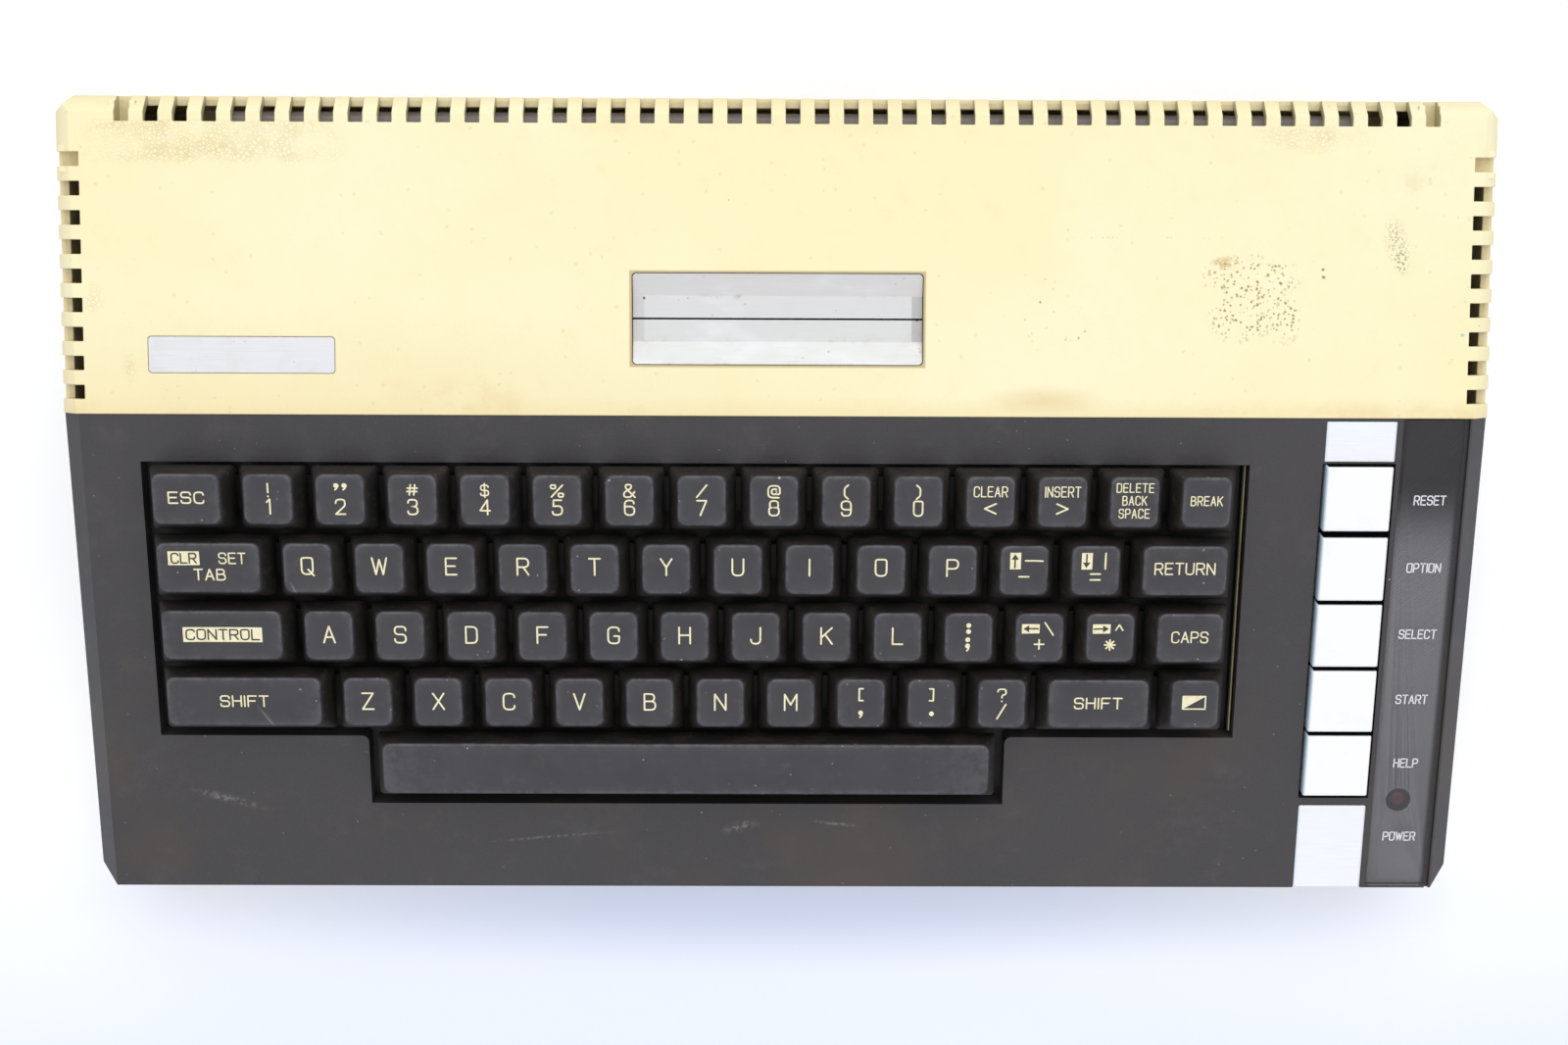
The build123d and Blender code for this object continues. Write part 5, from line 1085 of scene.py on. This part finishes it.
def spreadDoor(point):
    # moves the outer edges of a leaf out to the rim
    x, y = point.x / mm, point.y / mm - door["slotY"]
    outX = math.copysign(door["spread"], x) if abs(x) > door["halfX"] else 0.0
    outer = abs(y) > door["halfY"] and point.z / mm > door["lowest"]
    outY = math.copysign(door["spread"], y) if outer else 0.0
    return point + Vector((outX, outY, 0)) * mm


for name, edge in edgeRadii.items():
    roundedCopy(name, edge, shift=spreadDoor if name.startswith("cartridge_door") else None)
print("housings rounded:", len(edgeRadii))

# Words printed on the strip: places down the slope and type sizes in mm, and how the print leans and drifts
stripPrint = {
    "places": {"RESET": 22.5, "OPTION": 41.6, "SELECT": 60.65, "START": 79.7, "HELP": 98.65, "POWER": 120.8},
    "x": 175.1, "rise": 0.8, "height": 2.45, "letter": 1.28, "gap": 0.52, "stroke": 0.175, "lift": 0.03,
    "lean": 0.03, "drift": 0.004,
}


def onStrip(px, py, s):
    across = px + stripPrint["lean"] * py - stripPrint["drift"] * s
    return onSlope(across, s - py, stripPrint["rise"] + stripPrint["lift"])


shape = bmesh.new()
for word, s in stripPrint["places"].items():
    strokes = layText(word, (stripPrint["x"], 0), stripPrint["letter"], stripPrint["height"], stripPrint["gap"])
    drawText(shape, strokes, stripPrint["stroke"], lambda px, py: onStrip(px, py, s), 0)
addPiece("strip_words", meshFrom(shape, "stripWords"), "case", [finish["stripInk"]])
print("strip words laid")


def turned(shape, profile, sides=24, place=lambda point: point, slotIndex=0):
    # a surface turned about the local z axis from (radius, height) in mm, upwards outside; radius 0 closes it
    loops = []
    for radius, height in profile:
        angles = [2 * math.pi * k / sides for k in range(sides if radius else 1)]
        points = [Vector((radius * math.cos(a), radius * math.sin(a), height)) * mm for a in angles]
        loops.append([shape.verts.new(place(point)) for point in points])
    for lower, upper in zip(loops, loops[1:]):
        wallBetween(shape, lower, upper, slotIndex, True)


# Power lamp: a domed body on its square flange, seen through the strip
lamp = {
    "x": 174.1, "s": 110.7, "radius": 2.25, "base": -2.6, "top": -1.7, "collar": 0.8, "flange": 4.4,
    "flangeFoot": -4.2, "flangeTop": -2.7,
}


def inLamp(point):
    # a point about the lamp's own axis, square to the slope
    return onSlope(lamp["x"], lamp["s"]) + (
        onSlope(point.x / mm, -point.y / mm, point.z / mm) - onSlope(0, 0))


shape = bmesh.new()
profile = [(lamp["radius"], lamp["base"] - lamp["collar"])]
for turn in range(0, 90, 15):
    a = math.radians(turn)
    profile.append((lamp["radius"] * math.cos(a), lamp["base"] + (lamp["top"] - lamp["base"]) * math.sin(a)))
turned(shape, profile + [(0, lamp["top"])], 32, inLamp)
half = lamp["flange"]
square = ((-half, -half), (half, -half), (half, half), (-half, half))
low, high = (
    [shape.verts.new(inLamp(Vector((x, y, z)) * mm)) for x, y in square]
    for z in (lamp["flangeFoot"], lamp["flangeTop"]))
wallBetween(shape, low, high, 1)
for face in (shape.faces.new(low[::-1]), shape.faces.new(high)):
    face.material_index = 1
addPiece(
    "power_lamp_dome", meshFrom(shape, "powerLampDome"), "case",
    [finish["red_lamp"], finish["black_plastic"]], ["power_lamp"])
print("lamp made")

# Shield flange: a folded strip of tinned sheet just under the rear vents, which shows grey through them, in mm
flange = {
    "left": -144.5, "right": 152.0, "folds": ((97.5, 44.0), (99.0, 49.2), (103.6, 50.2), (105.2, 48.0)),
    "sheet": 0.8,
}
shape = bmesh.new()
left, right = (
    [shape.verts.new(Vector((x, y, z)) * mm) for y, z in flange["folds"]] for x in (flange["left"], flange["right"]))
for k in range(len(left) - 1):
    shape.faces.new((left[k], right[k], right[k + 1], left[k + 1]))
mesh = meshFrom(shape, "shieldFlange")
mesh.materials.append(finish["dullTin"])
holder = newObject("shieldFlangeHolder", mesh)
thick = holder.modifiers.new("sheet", "SOLIDIFY")
thick.thickness = flange["sheet"] * mm
thick.offset = -1
addPiece("shield_flange", plainMesh(holder, "shieldFlange"), "case")
print("shield flange folded")


def buildRepeat():
    # geometry nodes: a shape on every point, faced by Turn, then twisted about its own axis by up to Twist radians
    tree = bpy.data.node_groups.new("repeatShape", "GeometryNodeTree")
    tree.interface.new_socket(name="Geometry", in_out="OUTPUT", socket_type="NodeSocketGeometry")
    sockets = {
        "Geometry": "Geometry", "Shape": "Object", "Size": "Float", "Turn": "Vector", "Twist": "Float",
        "Seed": "Int", "Finish": "Material",
    }
    for name, kind in sockets.items():
        tree.interface.new_socket(name=name, in_out="INPUT", socket_type="NodeSocket" + kind)
    given = addNode(tree, "NodeGroupInput").outputs
    source = addNode(tree, "GeometryNodeObjectInfo", {"Object": given["Shape"]}).outputs["Geometry"]
    faced = addNode(tree, "FunctionNodeEulerToRotation", {"Euler": given["Turn"]})
    placed = addNode(tree, "GeometryNodeInstanceOnPoints", {
        "Points": given["Geometry"], "Instance": source, "Rotation": faced, "Scale": given["Size"]})
    chance = addNode(
        tree, "FunctionNodeRandomValue", {2: 0.0, 3: given["Twist"], "Seed": given["Seed"]},
        data_type="FLOAT").outputs[1]
    about = addNode(tree, "ShaderNodeCombineXYZ", {"Z": chance})
    twist = addNode(tree, "FunctionNodeEulerToRotation", {"Euler": about})
    turnedShapes = addNode(tree, "GeometryNodeRotateInstances", {"Instances": placed, "Rotation": twist})
    solid = addNode(tree, "GeometryNodeRealizeInstances", {"Geometry": turnedShapes})
    dressed = addNode(tree, "GeometryNodeSetMaterial", {"Geometry": solid, "Material": given["Finish"]})
    addNode(tree, "NodeGroupOutput", {"Geometry": dressed})
    return tree


repeatTree = buildRepeat()


def repeatShape(name, shape, places, body, slotName, replaced=(), **settings):
    # one piece of the shape at every place, given in mm
    source = newObject(name + "Source", meshFrom(shape, name + "Source"))
    points = bpy.data.meshes.new(name + "Points")
    points.from_pydata([Vector(place) * mm for place in places], [], [])
    holder = newObject(name + "Holder", points)
    modifier = holder.modifiers.new("repeat", "NODES")
    modifier.node_group = repeatTree
    settings = {"Shape": source, "Size": 1.0, "Seed": 4, "Twist": 0.0, "Turn": (0.0, 0.0, 0.0), **settings}
    for socket in repeatTree.interface.items_tree:
        if socket.in_out == "INPUT" and socket.name in settings:
            modifier[socket.identifier] = settings[socket.name]
    mesh = plainMesh(holder, name)
    bpy.data.objects.remove(source)
    return addPiece(name, mesh, body, (), replaced)


facing = {"down": (math.pi, 0.0, 0.0), "rear": (-math.pi / 2, 0.0, 0.0), "right": (0.0, math.pi / 2, 0.0)}

# Case screws: pan heads with a cross recess, each left at its own turn. Sizes in mm; the head is drawn in by
# shares of its radius at heights over its seat
screw = {
    "places": ((-163, -97.5), (0, -97.5), (163, -97.5), (-175, 96.5), (-14, 90), (175, 96.5)), "seat": 6.5,
    "head": 3.1, "rise": 2.2, "dome": ((1, 0), (1, 0.9), (0.95, 1.5), (0.8, 1.95), (0.66, 2.2)), "shank": 1.5,
    "length": 19.0, "tip": 0.4, "taper": 2, "arm": 1.75, "slot": 0.42, "recess": 1.3, "recessFloor": 0.62,
}
shape = bmesh.new()
plus = []
for quarter in range(4):
    a, b = screw["arm"], screw["slot"]
    turn = quarter * math.pi / 2
    for x, y in ((a, -b), (a, 0), (a, b), ((a + b) / 2, b), (b, b), (b, (a + b) / 2)):
        plus.append((x * math.cos(turn) - y * math.sin(turn), x * math.sin(turn) + y * math.cos(turn)))
ring = [Vector(p).normalized() for p in plus]
levels = [
    (screw["tip"], -screw["length"]), (screw["shank"], screw["taper"] - screw["length"]), (screw["shank"], 0),
    *[(screw["head"] * share, height) for share, height in screw["dome"]],
]
rings = [[(v.x * r, v.y * r, z) for v in ring] for r, z in levels]
rings.append([(x, y, screw["rise"]) for x, y in plus])
floorShare, floorLevel = screw["recessFloor"], screw["rise"] - screw["recess"]
rings.append([(x * floorShare, y * floorShare, floorLevel) for x, y in plus])
loops = [[shape.verts.new(Vector(p) * mm) for p in ring] for ring in rings]
for i, (lower, upper) in enumerate(zip(loops, loops[1:])):
    wallBetween(shape, lower, upper, smooth=i in (4, 5, 6))
shape.faces.new(loops[0][::-1])
shape.faces.new(loops[-1])
repeatShape(
    "case_screw_set", shape, [(x, y, screw["seat"]) for x, y in screw["places"]], "case", "zinc_steel",
    ["case_screws"], Turn=facing["down"], Twist=math.pi, Finish=finish["zinc_steel"])


def roundPin(radius, length, taper, tipShare, tip):
    # a pin that narrows to tipShare of its radius over taper and closes over tip
    shape = bmesh.new()
    turned(shape, [(radius, 0), (radius, length - taper), (radius * tipShare, length - tip), (0, length)], 12)
    return shape


def twoRows(middle, level, pitch, apart, counts):
    # places of an upper and a lower row of pins, across and up
    return [
        (middle + (k - (count - 1) / 2) * pitch, level + side * apart / 2)
        for count, side in zip(counts, (1, -1)) for k in range(count)]


# Controller ports: an insert with nine plated pins in two rows in each metal shell, in mm
port = {
    "places": (-60.0, -26.0), "z": 13.0, "floor": 181.9, "sunk": 0.2, "insert": 1.4, "edge": 0.4, "counts": (5, 4),
    "pitch": 2.77, "rows": 2.84, "pin": {"radius": 0.5, "length": 5.4, "taper": 0.5, "tipShare": 0.6, "tip": 0.1},
    "outline": ((-8.35, 4.2), (-6.9, -4.2), (6.9, -4.2), (8.35, 4.2)),
}
pins = [
    (port["floor"] + port["insert"], *pin)
    for y in port["places"] for pin in twoRows(y, port["z"], port["pitch"], port["rows"], port["counts"])]
repeatShape(
    "controller_pins", roundPin(**port["pin"]), pins, "case", "zinc_steel", Turn=facing["right"],
    Finish=finish["contactBrass"])
shape = bmesh.new()
for y in port["places"]:
    low, high = (
        [shape.verts.new(Vector((x, y + across, port["z"] + up)) * mm) for across, up in port["outline"]]
        for x in (port["floor"] - port["sunk"], port["floor"] + port["insert"]))
    shape.faces.new(high)
    wallBetween(shape, low, high)
rims = [edge for edge in shape.edges if len(edge.link_faces) == 2]
bmesh.ops.bevel(shape, geom=rims, offset=port["edge"] * mm, segments=3, affect="EDGES")
addPiece(
    "controller_inserts", meshFrom(shape, "controllerInserts"), "case", [finish["black_plastic"]])

# Round sockets: steel ring, black insert with a chamfered rim, and plated contact sleeves on an arc. Sizes in mm;
# ring and insert are given by steps in from the outer radius and out from the face
roundSocket = {
    "z": 16.2, "radius": 6.8, "face": 100.3, "insertFace": 95.0, "arc": 3.5,
    "contacts": ((50.0, 5, 180), (-105.0, 7, 270)),
    "ring": ((0.05, -8.4), (0.05, 0.15), (0.25, 0.3), (0.6, 0.3), (0.8, 0.1), (0.8, -8.4)),
    "insert": ((2.0, -8.6), (2.0, -5.6), (2.3, -5.3), (6.8, -5.3)),
    "sleeve": ((0.75, -0.6), (0.75, 0.15), (0.65, 0.25), (0.53, 0.25), (0.45, 0.15), (0.45, -0.6)),
}


def intoWall(x):
    # turns points about z into points about the axis of the socket at x
    middle = Vector((x, 0, roundSocket["z"])) * mm
    return lambda point: middle + Vector((-point.x, point.z, point.y))


shape = bmesh.new()
for x, _, _ in roundSocket["contacts"]:
    for slotIndex, part in enumerate(("ring", "insert")):
        profile = [
            (roundSocket["radius"] - inward, roundSocket["face"] + outward)
            for inward, outward in roundSocket[part]]
        turned(shape, profile, 40, intoWall(x), slotIndex)
addPiece(
    "round_socket_shells", meshFrom(shape, "roundSocketShells"), "case",
    [finish["zinc_steel"], finish["black_plastic"]])
shape = bmesh.new()
turned(shape, roundSocket["sleeve"], 16)
contacts = []
for x, count, span in roundSocket["contacts"]:
    for k in range(count):
        a = math.radians(90 - span / 2 + span * k / (count - 1))
        across, up = roundSocket["arc"] * math.cos(a), roundSocket["arc"] * math.sin(a)
        contacts.append((x + across, roundSocket["insertFace"], roundSocket["z"] + up))
repeatShape(
    "round_socket_contacts", shape, contacts, "case", "zinc_steel", Turn=facing["rear"],
    Finish=finish["contactBrass"])

# Peripheral connector: thirteen stout pins, seven over six, in mm
peripheral = {
    "x": 14.0, "z": 14.9, "floor": 89.3, "counts": (7, 6), "pitch": 3.9, "rows": 4.6,
    "pin": {"radius": 0.95, "length": 9.6, "taper": 0.9, "tipShare": 0.55, "tip": 0.15},
}
pins = [
    (across, peripheral["floor"], up) for across, up in twoRows(
        peripheral["x"], peripheral["z"], peripheral["pitch"], peripheral["rows"], peripheral["counts"])]
repeatShape(
    "peripheral_pins", roundPin(**peripheral["pin"]), pins, "case", "black_plastic", Turn=facing["rear"],
    Finish=finish["contactBrass"])

# Cartridge connector: bowed spring contacts down both sides of its slot, in mm
spring = {
    "count": 15, "pitch": 3.96, "y": 51.2, "top": 23.1, "half": 1.2, "sunk": 0.02, "width": 1.3,
    "bow": ((0.0, -6.6), (0.45, -5.0), (0.2, -2.6), (0.62, -1.0), (0.05, -0.15)),
}
shape = bmesh.new()
left, right = (
    [shape.verts.new(Vector((side * spring["width"] / 2, y, z)) * mm) for y, z in spring["bow"]]
    for side in (-1, 1))
for k in range(len(left) - 1):
    shape.faces.new((right[k], left[k], left[k + 1], right[k + 1]))
across = [(k - (spring["count"] - 1) / 2) * spring["pitch"] for k in range(spring["count"])]
for name, side, turn in (("front", -1, 0.0), ("rear", 1, math.pi)):
    y = spring["y"] + side * (spring["half"] - spring["sunk"])
    repeatShape(
        "cartridge_contacts_" + name, shape.copy(), [(x, y, spring["top"]) for x in across], "case",
        "black_plastic", Turn=(0.0, 0.0, turn), Finish=finish["contactBrass"])
shape.free()
print("sockets, pins and screws placed")

# Floor: pale cloth, white to the camera behind the case, painted cooler and darker in front, where its soft shadow
# lies
stage = {
    "reach": 3.0, "floor": "#f4f7fd", "front": "#dfe6fb", "contactShadow": "#c6d0ee", "glow": 0.16, "frontGlow": 0.08,
    "sky": "#f1f5ff", "skyLevel": 0.8, "sunLevel": 1.13, "sunSpread": 70, "sunColour": "#fffaf2",
    "sunTilt": (-28, 8, 0), "ahead": ("Y", (-700, -300), (-190, -60)), "around": ((0, 0, 0), (480, 400, 300), 0.8),
    "underFront": ((4, -121, 0), (232, 24, 300), 0.85),
}
material, shader, coords = newMaterial(
    "paleCottonCloth", {"Roughness": 0.9, "Specular IOR Level": 0.1, "Emission Color": linear("#ffffff")})
tree = coords.id_data
ahead = zone(coords, *stage["ahead"])
around = spot(coords, *stage["around"])
folds = overlap(clouds(coords, 160, 0.35, 0.7, 2, 0.4, (0.5, 1.4, 1)), around)
colour = paint(
    stage["floor"],
    (stage["front"], ahead, 0.8),
    # a painted highlight on the raised folds
    ("#ffffff", folds, 0.5),
    # a painted contact shadow along the case's front
    (stage["contactShadow"], spot(coords, *stage["underFront"]), 0.85))
finishSurface(shader, colour, None, [(folds, 0.25, 4)])
seen = addNode(tree, "ShaderNodeLightPath").outputs["Is Camera Ray"]
# less glow to the camera in front paints the floor darker there
glow = addNode(tree, "ShaderNodeMapRange", {"Value": ahead, "To Min": stage["glow"], "To Max": stage["frontGlow"]})
toCamera = overlap(seen, glow)
tree.links.new(toCamera.outputs["Value"], shader.inputs["Emission Strength"])
shape = bmesh.new()
bmesh.ops.create_grid(shape, x_segments=1, y_segments=1, size=stage["reach"])
floor = newObject("studio_floor", meshFrom(shape, "studioFloor"))
floor.data.materials.append(material)

world = bpy.data.worlds.new("softSky")
bpy.context.scene.world = world
world.use_nodes = True
tree = world.node_tree
tree.nodes.clear()
rays = addNode(tree, "ShaderNodeLightPath").outputs
seen = gather(rays["Is Camera Ray"], rays["Is Glossy Ray"], rays["Is Transmission Ray"])
light = addNode(tree, "ShaderNodeBackground", {"Color": stage["sky"], "Strength": stage["skyLevel"]})
white = addNode(tree, "ShaderNodeBackground", {"Color": "#ffffff", "Strength": 1.0})
sky = addNode(tree, "ShaderNodeMixShader", {0: seen, 1: light, 2: white})
addNode(tree, "ShaderNodeOutputWorld", {"Surface": sky})

sun = bpy.data.lights.new("softWindow", "SUN")
sun.energy = stage["sunLevel"]
sun.angle = math.radians(stage["sunSpread"])
sun.color = linear(stage["sunColour"])[:3]
newObject("softWindow", sun).rotation_euler = Euler([math.radians(a) for a in stage["sunTilt"]])
print("stage lit")

view = {"lens": 56.62, "sensor": 36.0, "place": (-0.00336, 0.0728, 0.70982), "turn": (-6.6079, -0.4336, 0.2406)}
lens = bpy.data.cameras.new("viewCamera")
lens.lens = view["lens"]
lens.sensor_width = view["sensor"]
camera = newObject("viewCamera", lens)
camera.location = view["place"]
camera.rotation_euler = Euler([math.radians(a) for a in view["turn"]])
bpy.context.scene.camera = camera
bpy.context.scene.view_settings.view_transform = "Standard"
